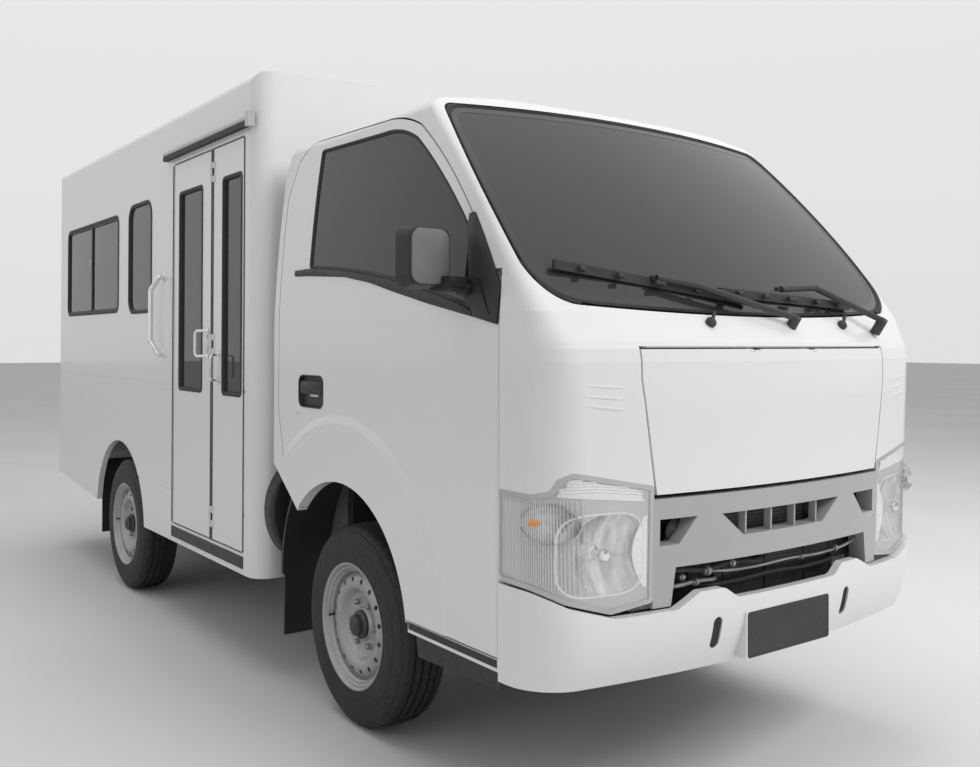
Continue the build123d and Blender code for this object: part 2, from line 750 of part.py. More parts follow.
with BuildPart() as wipers:
    for pivot, elbow, clip, tip, heel in wipers_layout:
        boss = Plane((pivot[0], station(-1170), pivot[1]), z_dir=(0, -0.55, 0.83))
        with Locations(boss):
            Cylinder(17, 56)
        arm_root = boss.origin + boss.z_dir * 22
        arm_elbow, arm_end = off_glass(elbow, 40), off_glass(clip, 28)
        for start, end in ((arm_root, arm_elbow), (arm_elbow, arm_end)):
            with BuildSketch(Plane(start, z_dir=end - start)):
                Circle(wiper_arm_radius)
            extrude(amount=(end - start).length)
        for joint in (arm_root, arm_elbow):
            with Locations(joint):
                Sphere(wiper_arm_radius)
        blade_tip, blade_heel = off_glass(tip, 13), off_glass(heel, 13)
        with BuildSketch(Plane(blade_tip, x_dir=(0, 1, 0), z_dir=blade_heel - blade_tip)):
            Rectangle(*wiper_blade)
        extrude(amount=(blade_heel - blade_tip).length)
        blade_clip = off_glass(clip, 12)
        with BuildSketch(Plane(arm_end, z_dir=blade_clip - arm_end)):
            Rectangle(12, 26)
        extrude(amount=(blade_clip - arm_end).length)
    add(cab_outer, mode=Mode.SUBTRACT)
write(wipers, "wipers")

step_top = cab_bottom - 10 - fit_gap
with BuildPart() as cab_steps:
    for side in (1, -1):
        add(side_prism([(door_front + 6, 392), (-500, 378), (-486, step_top), (door_front + 6, step_top)],
                       side * (cab_half - 250), side * (cab_half - 10)))
write(cab_steps, "cab_steps")

guard_top = seat_deck - floor_sheet - fit_gap
flap_bottom = 190.0
with BuildPart() as mudguards:
    for side in (1, -1):
        # curved guard behind the front wheel
        with BuildSketch(Plane.YZ.offset(side * 600)):
            with BuildLine():
                ThreePointArc((station(318), guard_top), (station(500), 660), (station(545), 430))
                Line((station(545), 430), (station(557), 430))
                ThreePointArc((station(557), 430), (station(512), 668), (station(334), guard_top))
                Line((station(334), guard_top), (station(318), guard_top))
            make_face()
        extrude(amount=side * 205)
        add(block((side * 612, side * 796), (546, 556), (flap_bottom, 440)))
        # hanging flap behind the rear wheel
        add(block((side * 660, side * (box_width / 2 - box_wall - 2)), (wheelbase + 480, wheelbase + 488),
                  (230, floor_top - floor_thickness)))
write(mudguards, "mudguards")

# ---------------------------------------------------------------- cab inside
with BuildPart() as dashboard:
    add(side_prism([(-1050, 1010), (-1050, 1330), (-960, 1395), (-760, 1330), (-735, 1180), (-790, 1010)],
                   -cab_half + cab_wall + 30, cab_half - cab_wall - 30))
    fillet(dashboard.edges().filter_by(Axis.X).group_by(Axis.Z)[-1], 30)
    add(cab_inner, mode=Mode.INTERSECT)
write(dashboard, "dashboard")

wheel_hub = Vector(370, station(-560), 1330)
with BuildPart() as steering_wheel:
    wheel_plane = Plane(wheel_hub, x_dir=(1, 0, 0), z_dir=(0, 0.62, 0.785))
    with Locations(wheel_plane):
        Torus(185, 14)
        Cylinder(42, 30)
    with BuildSketch(wheel_plane.offset(-6)):
        for angle in (0, 180, 270):
            with Locations(Rotation(0, 0, angle)):
                with Locations((110, 0)):
                    Rectangle(150, 30)
    extrude(amount=12)
    with BuildSketch(wheel_plane.offset(-330)):
        Circle(28)
    extrude(amount=320)
    add(dashboard.part, mode=Mode.SUBTRACT)
write(steering_wheel, "steering_wheel")

with BuildPart() as cab_seats:
    for x_start, x_end in ((120, 690), (-690, 80)):
        add(side_prism([(-480, seat_deck), (-470, 1060), (-420, 1080), (60, 1050), (110, 1030), (150, 1500),
                        (190, 1660), (260, 1680), (280, 1640), (250, 1200), (230, seat_deck)], x_start, x_end))
    fillet(cab_seats.edges().filter_by(Axis.X).sort_by(Axis.Z)[-6:], 20)
write(cab_seats, "cab_seats")

# ---------------------------------------------------------------- passenger box
box_half = box_width / 2
box_roof_seam = box_top - roof_cap_height


def box_form(inset):
    """The closed form of the passenger box, drawn in by an even inset."""
    with BuildPart(mode=Mode.PRIVATE) as form:
        with BuildSketch(Plane.XY.offset(box_bottom)):
            with Locations((0, station((box_front + box_back) / 2))):
                RectangleRounded(box_width - 2 * inset, box_back - box_front - 2 * inset, box_corner - inset)
        extrude(amount=box_top - box_bottom)
        edge, crown = box_half - inset, box_top - inset
        with BuildSketch(Plane.XZ.offset(-station(box_front - 10))) as view:
            with BuildLine():
                Polyline((-edge, crown - 18), (-edge, box_bottom), (edge, box_bottom), (edge, crown - 18))
                ThreePointArc((edge, crown - 18), (0, crown), (-edge, crown - 18))
            make_face()
            fillet(view.vertices().group_by(Axis.Y)[-1], 40 - inset)
        extrude(amount=-(box_back - box_front + 20), mode=Mode.INTERSECT)
    return form.part


box_outer = box_form(0)
box_inner = box_form(box_wall)
wall_split = box_half - box_corner

entry_front = 768.0
entry_rear = 1622.0
entry_bottom = 478.0
entry_top = 2185.0
rear_arch_radius = 440.0
rear_arch_centre = (wheelbase + 40.0, 360.0)
slider_window = ((2530.0, 3620.0), (1508.0, 2026.0), 45.0)
small_window = ((1960.0, 2330.0), (1496.0, 2050.0), 70.0)
left_front_window = ((860.0, 1850.0), (1508.0, 2026.0), 45.0)


def rear_arch(radius, x_start, x_end):
    """The round wheel arch over the rear axle, as a solid along X."""
    with BuildPart(mode=Mode.PRIVATE) as arch:
        with BuildSketch(Plane.YZ.offset(x_start)):
            with Locations((station(rear_arch_centre[0]), rear_arch_centre[1])):
                Circle(radius)
        extrude(amount=x_end - x_start)
    return arch.part


feature_lines = (1137.0, 638.0)          # heights of the pressed lines along the sides
leaf_thickness = 30.0
leaf_outer = box_half - 2.0
leaf_bottom, leaf_top = entry_bottom + running_gap, entry_top - running_gap
leaf_seam = 1124.0
leaf_front_edge, leaf_rear_edge = entry_front + 12, entry_rear - 10
leaf_pin_radius = 6.0
leaf_pivot = (-(leaf_outer - leaf_thickness / 2), station(leaf_front_edge + 14))
leaf_hinge_radius = 7.0
leaf_hinge = (-(leaf_outer + leaf_hinge_radius), station(leaf_seam))
leaf_hinge_heights = (582.0, 1330.0, 2080.0)
leaf_glass_heights = (1122.0, 2034.0)
leaf_glass = {"front": ((800.0, 1000.0), leaf_glass_heights, 16.0),
              "rear": ((1250.0, 1541.0), leaf_glass_heights, 16.0)}

side_outline = [(box_front, box_bottom), (rear_arch_centre[0], box_bottom), (box_back - 960, 424),
                (box_back, 500), (box_back, box_roof_seam), (box_front, box_roof_seam)]
for side, name in ((1, "left"), (-1, "right")):
    with BuildPart() as body_side:
        add(box_outer)
        add(box_inner, mode=Mode.SUBTRACT)
        add(side_prism(side_outline, side * wall_split, side * (box_half + 20)), mode=Mode.INTERSECT)
        add(rear_arch(rear_arch_radius, side * 700, side * 900), mode=Mode.SUBTRACT)
        for height in feature_lines:
            add(block((side * (box_half - 2), side * (box_half + 20)), (box_front - 10, box_back + 10),
                      (height - 5, height + 5)), mode=Mode.SUBTRACT)
        cutters = [slider_window, small_window] + ([left_front_window] if side > 0 else [])
        for window in cutters:
            add(rounded_side_window(*window, side * (box_half - 60), side * (box_half + 20)),
                mode=Mode.SUBTRACT)
        if side < 0:
            add(block((-box_half - 20, -box_half + 60), (entry_front, entry_rear), (entry_bottom, entry_top)),
                mode=Mode.SUBTRACT)
            for z in (entry_bottom + 8, entry_top - 8):
                with Locations((*leaf_pivot, z)):
                    Cylinder(leaf_pin_radius, 40)
    write(body_side, f"body_{name}_side")

tunnel_half = 470.0       # the front wall is open below the floor, round the chassis
rear_door_half = 410.0
rear_hinge_radius = 9.0
rear_hinge = (rear_door_half - 3.0, station(box_back) + rear_hinge_radius)
rear_hinge_heights = (950.0, 1450.0, 1980.0)
rear_door_bottom = 745.0
rear_door_top = 2190.0
for name, y_limits in (("front", (box_front - 20, box_front + 200)),
                       ("rear", (box_back - 200, box_back + 20))):
    with BuildPart() as body_wall:
        add(box_outer)
        add(box_inner, mode=Mode.SUBTRACT)
        add(block((-wall_split, wall_split), y_limits, (box_bottom, box_roof_seam)), mode=Mode.INTERSECT)
        if name == "front":
            add(block((-tunnel_half, tunnel_half), y_limits, (box_bottom - 5, floor_top - floor_thickness)),
                mode=Mode.SUBTRACT)
        if name == "rear":
            add(block((-rear_door_half, rear_door_half), y_limits, (rear_door_bottom, rear_door_top)),
                mode=Mode.SUBTRACT)
            add(block((-wall_split, wall_split), y_limits, (box_bottom - 5, 500)), mode=Mode.SUBTRACT)
            for height in rear_hinge_heights:
                with Locations((*rear_hinge, height)):
                    Cylinder(4, 120)
                for end in (-1, 1):
                    with Locations((*rear_hinge, height + 40 * end)):
                        Cylinder(rear_hinge_radius, 38)
                    add(block((rear_hinge[0] + 5, rear_hinge[0] + 60), (box_back, box_back + 6),
                              (height + 40 * end - 19, height + 40 * end + 19)))
    write(body_wall, f"body_{name}_wall")

with BuildPart() as body_roof:
    add(box_outer)
    add(box_inner, mode=Mode.SUBTRACT)
    add(block((-900, 900), (box_front - 20, box_back + 20), (box_roof_seam, box_top + 20)), mode=Mode.INTERSECT)
write(body_roof, "body_roof")

# moulded duct between the cab's tail and the front wall, on the right
with BuildPart() as air_duct:
    with BuildSketch(Plane.XZ.offset(-station(572))):
        with BuildLine():
            Spline((-600, 895), (-762, 850), (-836, 733), (-785, 512), (-620, 470))
            Line((-620, 470), (-600, 895))
        make_face()
    extrude(amount=-(box_front - fit_gap - 572))
    fillet(air_duct.faces().sort_by(Axis.Y)[0].edges().filter_by(GeomType.BSPLINE), 18)
write(air_duct, "air_duct")

# floor with its step well, tread and wheel boxes
well_front, well_rear, well_inner, tread_top = 745.0, 1650.0, 512.0, 470.0
wheel_box_inner = 610.0
inner_half = box_half - box_wall
with BuildPart() as body_floor:
    add(block((-inner_half, inner_half), (box_front + box_wall, box_back - box_wall),
              (floor_top - floor_thickness, floor_top)))
    add(block((-inner_half, -well_inner), (well_front, well_rear), (600, 800)), mode=Mode.SUBTRACT)
    add(block((-inner_half, -well_inner + 20), (well_front - 20, well_rear + 20),
              (tread_top - 20, floor_top - floor_thickness)))
    add(block((-inner_half - 1, -well_inner), (well_front, well_rear), (tread_top, floor_top)), mode=Mode.SUBTRACT)
    for side in (1, -1):
        add(rear_arch(rear_arch_radius + 22, side * wheel_box_inner, side * inner_half))
    add(block((-inner_half, inner_half), (1900, 3100), (-200, floor_top - floor_thickness)),
        mode=Mode.SUBTRACT)
    for side in (1, -1):
        add(rear_arch(rear_arch_radius, side * (wheel_box_inner + 22), side * (inner_half + 1)),
            mode=Mode.SUBTRACT)
    add(box_inner, mode=Mode.INTERSECT)
write(body_floor, "body_floor")

with BuildPart() as body_glass:
    for side in (1, -1):
        for window in [slider_window, small_window] + ([left_front_window] if side > 0 else []):
            add(rounded_side_window(*window, side * (box_half - 14), side * (box_half - 8), fit_gap))
write(body_glass, "body_glass")

# ---------------------------------------------------------------- bi-fold entry door
for name, y_limits, ends in (("front", (leaf_front_edge, leaf_seam - 3), (-1, 1)),
                             ("rear", (leaf_seam + 3, leaf_rear_edge), (0,))):
    with BuildPart() as entry_leaf:
        add(block((-leaf_outer, -leaf_outer + leaf_thickness), y_limits, (leaf_bottom, leaf_top)))
        add(rounded_side_window(*leaf_glass[name], -leaf_outer - 20, -leaf_outer + 60), mode=Mode.SUBTRACT)
        # hinge knuckles on the outer face at the seam: outer pair with the pin, or the middle one
        toward = -1 if name == "front" else 1
        for height in leaf_hinge_heights:
            for end in ends:
                with Locations((*leaf_hinge, height + 30 * end)):
                    Cylinder(leaf_hinge_radius, 28)
                with Locations((-leaf_outer - 2, leaf_hinge[1] + toward * 16, height + 30 * end)):
                    Box(4, 32, 28)
            with Locations((*leaf_hinge, height)):
                if name == "front":
                    Cylinder(3, 80)
                else:
                    Cylinder(3 + fit_gap, 80, mode=Mode.SUBTRACT)
        if name == "front":
            for z in (entry_bottom + 8, entry_top - 8):
                with Locations((*leaf_pivot, z)):
                    Cylinder(leaf_pin_radius + fit_gap, 44, mode=Mode.SUBTRACT)
    write(entry_leaf, f"entry_leaf_{name}")
    with BuildPart() as entry_glass:
        add(rounded_side_window(*leaf_glass[name], -leaf_outer + 10, -leaf_outer + 16, fit_gap))
    write(entry_glass, f"entry_glass_{name}")

with BuildPart() as entry_rail:
    add(block((-box_half - 26, -box_half), (690, 1712), (2208, 2246)))
    add(block((-box_half - 22, -box_half - 4), (694, 1708), (2200, 2240)), mode=Mode.SUBTRACT)
    add(block((-box_half - 30, -box_half), (664, 694), (2204, 2262)))
write(entry_rail, "entry_rail")

pull_radius = 6.5
pull_reach = 40.0
pull_places = (("front", 1038, 1030, (1176, 1284)), ("rear", 1166, 1222, (1277, 1388)))
for name, ends, bar_y, heights in pull_places:
    low, high = heights
    leaf_face, bar_x = -leaf_outer - fit_gap, -leaf_outer - pull_reach
    with BuildPart() as pull:
        with BuildLine() as route:
            FilletPolyline((leaf_face, station(ends), high), (bar_x, station(bar_y), high),
                           (bar_x, station(bar_y), low), (leaf_face, station(ends), low), radius=14)
        with BuildSketch(Plane(route.wire() @ 0, z_dir=route.wire() % 0)):
            Circle(pull_radius)
        sweep()
        for height in heights:
            with BuildSketch(Plane.YZ.offset(leaf_face - 5)):
                with Locations((station(ends), height)):
                    Circle(14)
            extrude(amount=5)
        add(block((leaf_face, leaf_face + 30), (900, 1400), (1100, 1500)), mode=Mode.SUBTRACT)
    write(pull, f"entry_handle_{name}")

with BuildPart() as boarding_handle:
    with BuildLine() as route:
        FilletPolyline((-box_half, station(1752), 1654), (-box_half - 28, station(1752), 1654),
                       (-box_half - 55, station(1790), 1590), (-box_half - 55, station(1790), 1343),
                       (-box_half - 28, station(1752), 1279), (-box_half, station(1752), 1279), radius=12)
    with BuildSketch(Plane(route.wire() @ 0, z_dir=route.wire() % 0)):
        Circle(12)
    sweep()
write(boarding_handle, "boarding_handle")

# ---------------------------------------------------------------- rear door, lamps and bumper
with BuildPart() as rear_door:
    add(block((-rear_door_half + 7, rear_door_half - 7), (box_back - box_wall, box_back),
              (rear_door_bottom + 7, rear_door_top - 7)))
    for height in rear_hinge_heights:
        with Locations((*rear_hinge, height)):
            Cylinder(rear_hinge_radius, 38)
            Cylinder(4 + fit_gap, 60, mode=Mode.SUBTRACT)
        add(block((rear_hinge[0] - 60, rear_hinge[0] - 5), (box_back, box_back + 6),
                  (height - 19, height + 19)))
    add(rounded_end_window((-300, 300), (1508, 2026), 45, box_back - 60, box_back + 20), mode=Mode.SUBTRACT)
write(rear_door, "rear_door")
with BuildPart() as rear_door_glass:
    add(rounded_end_window((-300, 300), (1508, 2026), 45, box_back - 14, box_back - 8, fit_gap))
write(rear_door_glass, "rear_door_glass")

with BuildPart() as tail_lamps:
    for side in (1, -1):
        with BuildSketch(Plane.XZ.offset(-station(box_back))):
            with Locations((side * 700, 900)):
                RectangleRounded(110, 300, 20)
        extrude(amount=-34, taper=6)
write(tail_lamps, "tail_lamps")

# ---------------------------------------------------------------- chassis
frame_top = frame_bottom + frame_height
frame_end = box_back - box_wall - 2
spare_centre = 3270.0
spare_height = 372.0      # of the spare wheel's seat
frame_front = -1148.0
jack_pad_length = 60.0
jack_pad_depth = 8.0      # below the rail
jack_pad_stations = (560.0, 1750.0)
bumper_back = bumper_plan(bumper_thickness + fit_gap)


def bumper_bracket(x_inner, x_outer):
    """A frame rail's nose, cut to the bumper's inner face."""
    with BuildPart(mode=Mode.PRIVATE) as bracket:
        add(block((x_inner, x_outer), (-front_overhang, frame_front), (frame_top - 60, frame_top - 15)))
        add(bumper_back, mode=Mode.INTERSECT)
    return bracket.part


with BuildPart() as chassis_frame:
    for side in (1, -1):
        x_outer = side * frame_half_width
        x_inner = side * (frame_half_width - frame_flange)
        add(block((x_inner, x_outer), (frame_front, frame_end), (frame_bottom, frame_top)))
        add(bumper_bracket(x_inner, x_outer))
        for y in jack_pad_stations:
            add(block((x_inner, x_outer), (y - jack_pad_length / 2, y + jack_pad_length / 2),
                      (frame_bottom - jack_pad_depth, frame_bottom)))
    for y in (-1040, 1000, 1850, 2950, spare_centre - 30, frame_end - 70):
        add(block((-frame_half_width + 30, frame_half_width - 30), (y, y + 60), (frame_top - 55, frame_top)))
    # outriggers that carry the passenger floor, short of the step well
    for y, right in ((760, well_inner - 30), (1760, inner_half - 60), (3100, inner_half - 60),
                     (3780, inner_half - 60)):
        add(block((-right, inner_half - 60), (y, y + 40), (frame_top, floor_top - floor_thickness)))
    with Locations((0, station(spare_centre), (frame_top + spare_height) / 2)):
        Cylinder(40, frame_top - spare_height)
    add(block((-cab_half + 100, cab_half - 100), (-940, -900), (frame_top - 60, foot_floor - floor_sheet)))
    add(block((-cab_half + 260, cab_half - 260), (380, 420), (frame_top, seat_deck - floor_sheet)))
write(chassis_frame, "chassis_frame")

king_pin_x = 580.0
with BuildPart() as front_suspension:
    add(block((-frame_half_width, frame_half_width), (-70, 70), (360, frame_bottom)))
    for side in (1, -1):
        with Locations((side * king_pin_x, front_axle, 360)):
            Cylinder(12, 260)
        for z, root in ((228, 300), (476, frame_half_width)):
            with BuildSketch(Plane.XY.offset(z)):
                with BuildLine():
                    Polyline((side * root, front_axle - 60), (side * (king_pin_x + 10), front_axle - 22),
                             (side * (king_pin_x + 24), front_axle),
                             (side * (king_pin_x + 10), front_axle + 22),
                             (side * root, front_axle + 60), close=True)
                make_face()
            extrude(amount=20)
        add(block((side * 280, side * 330), (-60, 60), (228, frame_bottom)))
write(front_suspension, "front_suspension")

front_wheel_x = front_track / 2
rear_wheel_x = rear_track / 2
spindle_radius = 22.0
for side, name in ((1, "left"), (-1, "right")):
    with BuildPart() as knuckle:
        with Locations((side * king_pin_x, front_axle, axle_height)):
            Cylinder(28, 200)
        with Locations((side * king_pin_x, front_axle, axle_height)):
            Cylinder(12 + fit_gap, 300, mode=Mode.SUBTRACT)
        with BuildSketch(Plane.YZ.offset(side * (king_pin_x + 20))):
            with Locations((front_axle, axle_height)):
                Circle(spindle_radius)
        extrude(amount=side * (front_wheel_x + 40 - king_pin_x - 20))
    write(knuckle, f"steering_knuckle_{name}")

with BuildPart() as rear_suspension:
    with BuildSketch(Plane.YZ.offset(-rear_wheel_x - 40)):
        with Locations((rear_axle, axle_height)):
            Circle(spindle_radius)
    extrude(amount=2 * rear_wheel_x + 80)
    with BuildSketch(Plane.YZ.offset(-rear_wheel_x + 130)):
        with Locations((rear_axle, axle_height)):
            Circle(42)
    extrude(amount=2 * rear_wheel_x - 260)
    with Locations((0, rear_axle, axle_height)):
        Sphere(140)
    for side in (1, -1):
        with BuildSketch(Plane.YZ.offset(side * 340)):
            with BuildLine():
                ThreePointArc((rear_axle - 560, 440), (rear_axle, 392), (rear_axle + 560, 440))
                Line((rear_axle + 560, 440), (rear_axle + 560, frame_bottom))
                ThreePointArc((rear_axle + 560, frame_bottom), (rear_axle, 424), (rear_axle - 560, frame_bottom))
                Line((rear_axle - 560, frame_bottom), (rear_axle - 560, 440))
            make_face()
        extrude(amount=side * 56)
write(rear_suspension, "rear_axle")

# ---------------------------------------------------------------- wheels
hub_back = 40.0           # of the hub's inner face behind the wheel's centre plane


def wheel_plane(side, x, y):
    """Plane through a wheel's centre whose normal points out of the vehicle's side."""
    return Plane((x, y, axle_height), x_dir=(0, 1, 0), z_dir=(side, 0, 0))


def tyre_solid(plane):
    """A tyre as a revolved section with rounded shoulders and bulging sidewalls."""
    outer, bead, half = tyre_diameter / 2, rim_diameter / 2 - 12, tyre_width / 2
    with BuildPart(mode=Mode.PRIVATE) as tyre:
        with BuildSketch(Plane.XZ):
            with BuildLine():
                Polyline((bead, -half + 20), (bead, half - 20))
                Spline((bead, half - 20), (bead + 60, half), (outer - 24, half - 14), (outer, half - 34))
                Polyline((outer, half - 34), (outer, -half + 34))
                Spline((outer, -half + 34), (outer - 24, -half + 14), (bead + 60, -half), (bead, -half + 20))
            make_face()
        revolve(axis=Axis.Z)
    return plane * tyre.part


def rim_solid(plane):
    """A pressed steel rim with its dished disc, round vents and hub."""
    edge, half = rim_diameter / 2, tyre_width / 2 - 20
    seat = edge - 12 - fit_gap
    with BuildPart(mode=Mode.PRIVATE) as rim:
        with BuildSketch(Plane.XZ):
            with BuildLine():
                Polyline((spindle_radius + fit_gap, -hub_back), (60, -hub_back), (60, 14), (100, 13), (114, 22),
                         (125, 40), (136, 42), (149, 32), (171, 15), (seat - 8, 9), (seat - 8, -half),
                         (seat, -half), (seat, half), (edge + 3, half + 15), (edge + 3, half + 20),
                         (edge - 3, half + 20), (seat - 8, half + 8), (seat - 14, half - 12), (seat - 14, 20),
                         (174, 22), (151, 40), (137, 50), (123, 48), (110, 29), (98, 21), (54, 22), (46, 30),
                         (46, 50), (34, 60), (spindle_radius + fit_gap, 60), close=True)
            make_face()
        revolve(axis=Axis.Z)
        with Locations((0, 0, 30)):
            with PolarLocations(161, 16):
                Cylinder(8.5, 60, mode=Mode.SUBTRACT)
    return plane * rim.part


for corner, x, y in (("front", front_wheel_x, front_axle), ("rear", rear_wheel_x, rear_axle)):
    for side, name in ((1, "left"), (-1, "right")):
        plane = wheel_plane(side, side * x, y)
        with BuildPart() as tyre:
            add(tyre_solid(plane))
        write(tyre, f"tyre_{corner}_{name}")
        with BuildPart() as rim:
            add(rim_solid(plane))
        write(rim, f"rim_{corner}_{name}")

# ---------------------------------------------------------------- power train, tank, exhaust, bumper, benches
with BuildPart() as powertrain:
    add(block((-270, 270), (-480, 250), (500, 850)))
    add(block((-150, 150), (250, 740), (420, 570)))
    rail_inner = frame_half_width - frame_flange
    add(block((-rail_inner, rail_inner), (-200, -140), (505, 555)))
    shaft_start, shaft_end = Vector(0, station(740), 460), Vector(0, station(wheelbase - 146), 362)
    with BuildSketch(Plane(shaft_start, z_dir=shaft_end - shaft_start)):
        Circle(38)
    extrude(amount=(shaft_end - shaft_start).length)
    add(block((-rail_inner, rail_inner), (-1140, -1085), (490, 900)))
write(powertrain, "powertrain")

with BuildPart() as fuel_tank:
    add(block((frame_half_width, frame_half_width + 260), (900, 1600), (370, 640)))
    fillet(fuel_tank.edges().filter_by(Axis.Y), 50)
write(fuel_tank, "fuel_tank")

tailpipe_radius = 30.0

with BuildPart() as exhaust:
    with BuildSketch(Plane.XZ.offset(-station(500))):
        with Locations((250, 400)):
            Circle(tailpipe_radius)
    extrude(amount=-1200)
    with BuildSketch(Plane.XZ.offset(-station(1000))):
        with Locations((250, 400)):
            Ellipse(95, 55)
    extrude(amount=-450)
    for y in (640, 1600):
        add(block((240, frame_half_width), (y, y + 20), (427, frame_bottom)))
    with BuildSketch(Plane.XZ.offset(-station(500 + 1200))):
        with Locations((250, 400)):
            Circle(tailpipe_radius - 2)
    extrude(amount=100, mode=Mode.SUBTRACT)
write(exhaust, "exhaust")

with BuildPart() as rear_bumper:
    with BuildSketch(Plane.XZ.offset(-station(wheelbase + rear_overhang))):
        with Locations((0, 460)):
            RectangleRounded(1560, 90, 20)
    extrude(amount=50)
    for side in (1, -1):
        add(block((side * (frame_half_width - frame_flange), side * frame_half_width),
                  (frame_end, wheelbase + rear_overhang - 50), (frame_bottom, frame_bottom + 45)))
write(rear_bumper, "rear_bumper")

bench_top = 1080.0        # of the pans that carry the cushions
pan_thickness = 12.0
cushion_thickness = 80.0
bench_inner = 430.0
bench_rows = ((1, 720.0, 3780.0), (-1, 1720.0, 3780.0))
back_range = (1185.0, 1480.0)
with BuildPart() as passenger_benches:
    for side, y_start, y_end in bench_rows:
        add(block((side * bench_inner, side * (inner_half - fit_gap)), (y_start, y_end),
                  (bench_top - pan_thickness, bench_top)))
        add(block((side * (inner_half - pan_thickness), side * (inner_half - fit_gap)), (y_start, y_end),
                  back_range))
        for y in (y_start + 100, (y_start + y_end) / 2, y_end - 180):
            add(block((side * 560, side * 600), (y, y + 40), (floor_top, bench_top - pan_thickness)))
write(passenger_benches, "passenger_benches")

with BuildPart() as bench_cushions:
    for side, y_start, y_end in bench_rows:
        wall_face = inner_half - pan_thickness
        add(block((side * (bench_inner - 5), side * (wall_face - 4)), (y_start, y_end),
                  (bench_top + fit_gap, bench_top + cushion_thickness)))
        add(block((side * (wall_face - cushion_thickness), side * (wall_face - fit_gap)), (y_start, y_end),
                  (back_range[0] + 5, back_range[1] + 10)))
write(bench_cushions, "bench_cushions")

spare_plane = Plane((0, station(spare_centre), spare_height - hub_back - fit_gap), z_dir=(0, 0, -1))
with BuildPart() as spare_wheel:
    add(tyre_solid(spare_plane))
    add(rim_solid(spare_plane))
write(spare_wheel, "spare_wheel")
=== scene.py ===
import bpy
import bmesh
from math import atan2, copysign, cos, exp, hypot, pi, radians, sin, sqrt
from mathutils import Matrix, Vector
from mathutils.bvhtree import BVHTree


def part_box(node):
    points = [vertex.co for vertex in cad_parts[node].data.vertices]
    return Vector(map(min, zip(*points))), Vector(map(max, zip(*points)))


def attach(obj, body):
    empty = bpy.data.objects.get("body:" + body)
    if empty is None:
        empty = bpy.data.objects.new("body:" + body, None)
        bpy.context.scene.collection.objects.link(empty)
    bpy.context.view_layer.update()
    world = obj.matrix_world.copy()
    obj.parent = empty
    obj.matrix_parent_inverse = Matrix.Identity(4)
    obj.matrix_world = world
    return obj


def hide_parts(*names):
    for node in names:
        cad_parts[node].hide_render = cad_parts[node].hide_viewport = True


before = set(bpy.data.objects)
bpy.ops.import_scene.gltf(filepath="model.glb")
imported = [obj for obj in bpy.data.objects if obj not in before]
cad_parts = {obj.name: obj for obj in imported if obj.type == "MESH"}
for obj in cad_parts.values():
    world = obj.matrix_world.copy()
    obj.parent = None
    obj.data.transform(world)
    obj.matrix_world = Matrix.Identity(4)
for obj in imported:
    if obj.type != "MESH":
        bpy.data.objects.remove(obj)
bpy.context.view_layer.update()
AXLE = -1.361            # Y of the front axle; distances along the vehicle are behind it
SIDES = ((-1, "right"), (1, "left"))
CAB_HALF = 0.845
BOX_HALF = 0.88
LEAF_FACE = BOX_HALF - 0.002      # outside of the entry door's leaves
BACK_WALL = AXLE + 3.885

# ------------------------------------------------------------------ materials


def new_material(name, settings=None):
    """A material with its node tree and shader, the shader's constants set from a table."""
    mat = bpy.data.materials.new(name)
    mat.use_nodes = True
    shader = mat.node_tree.nodes["Principled BSDF"]
    for key, value in (settings or {}).items():
        shader.inputs[key].default_value = value
    return mat, mat.node_tree, shader


def node(tree, kind, **values):
    made = tree.nodes.new(kind)
    for key, value in values.items():
        if key in made.inputs:
            made.inputs[key].default_value = value
        else:
            setattr(made, key, value)
    return made


def ramp(tree, source, stops):
    made = tree.nodes.new("ShaderNodeValToRGB")
    while len(made.color_ramp.elements) < len(stops):
        made.color_ramp.elements.new(0.5)
    for element, (place, colour) in zip(made.color_ramp.elements, stops):
        element.position = place
        element.color = (*colour, 1) if len(colour) == 3 else colour
    tree.links.new(source, made.inputs["Fac"])
    return made.outputs["Color"]


def object_coords(tree, stretch=(1, 1, 1)):
    coords = tree.nodes.new("ShaderNodeTexCoord")
    mapping = tree.nodes.new("ShaderNodeMapping")
    mapping.inputs["Scale"].default_value = stretch
    tree.links.new(coords.outputs["Object"], mapping.inputs["Vector"])
    return mapping.outputs["Vector"]


def noise(tree, scale, detail=3.0, roughness=0.5, stretch=(1, 1, 1)):
    made = node(tree, "ShaderNodeTexNoise", Scale=scale, Detail=detail, Roughness=roughness)
    tree.links.new(object_coords(tree, stretch), made.inputs["Vector"])
    return made.outputs["Fac"]


def bumped(tree, shader, source, strength, distance):
    made = node(tree, "ShaderNodeBump", Strength=strength, Distance=distance)
    tree.links.new(source, made.inputs["Height"])
    tree.links.new(made.outputs["Normal"], shader.inputs["Normal"])


def grey(value):
    return (value, value, value)


def surface(name, dark, light, rough=(0.3, 0.4), scale=6.0, metallic=0.0, bump=0.0, bump_scale=60.0,
            coat=0.0, coat_rough=0.08, specular=0.5, stretch=(1, 1, 1), sheen=0.0, height=0.001):
    """A painted, moulded or metal finish with slow colour and roughness changes and a fine bump."""
    mat, tree, shader = new_material(name, {"Metallic": metallic, "Coat Weight": coat,
                                            "Coat Roughness": coat_rough, "Specular IOR Level": specular,
                                            "Sheen Weight": sheen})
    slow = noise(tree, scale, 4.0, 0.55, stretch)
    tree.links.new(ramp(tree, slow, [(0.3, dark), (0.7, light)]), shader.inputs["Base Color"])
    fine = noise(tree, scale * 5, 3.0, 0.6, stretch)
    tree.links.new(ramp(tree, fine, [(0.3, grey(rough[0])), (0.7, grey(rough[1]))]),
                   shader.inputs["Roughness"])
    if bump:
        bumped(tree, shader, noise(tree, bump_scale, 3.0, 0.6, stretch), bump, height)
    return mat


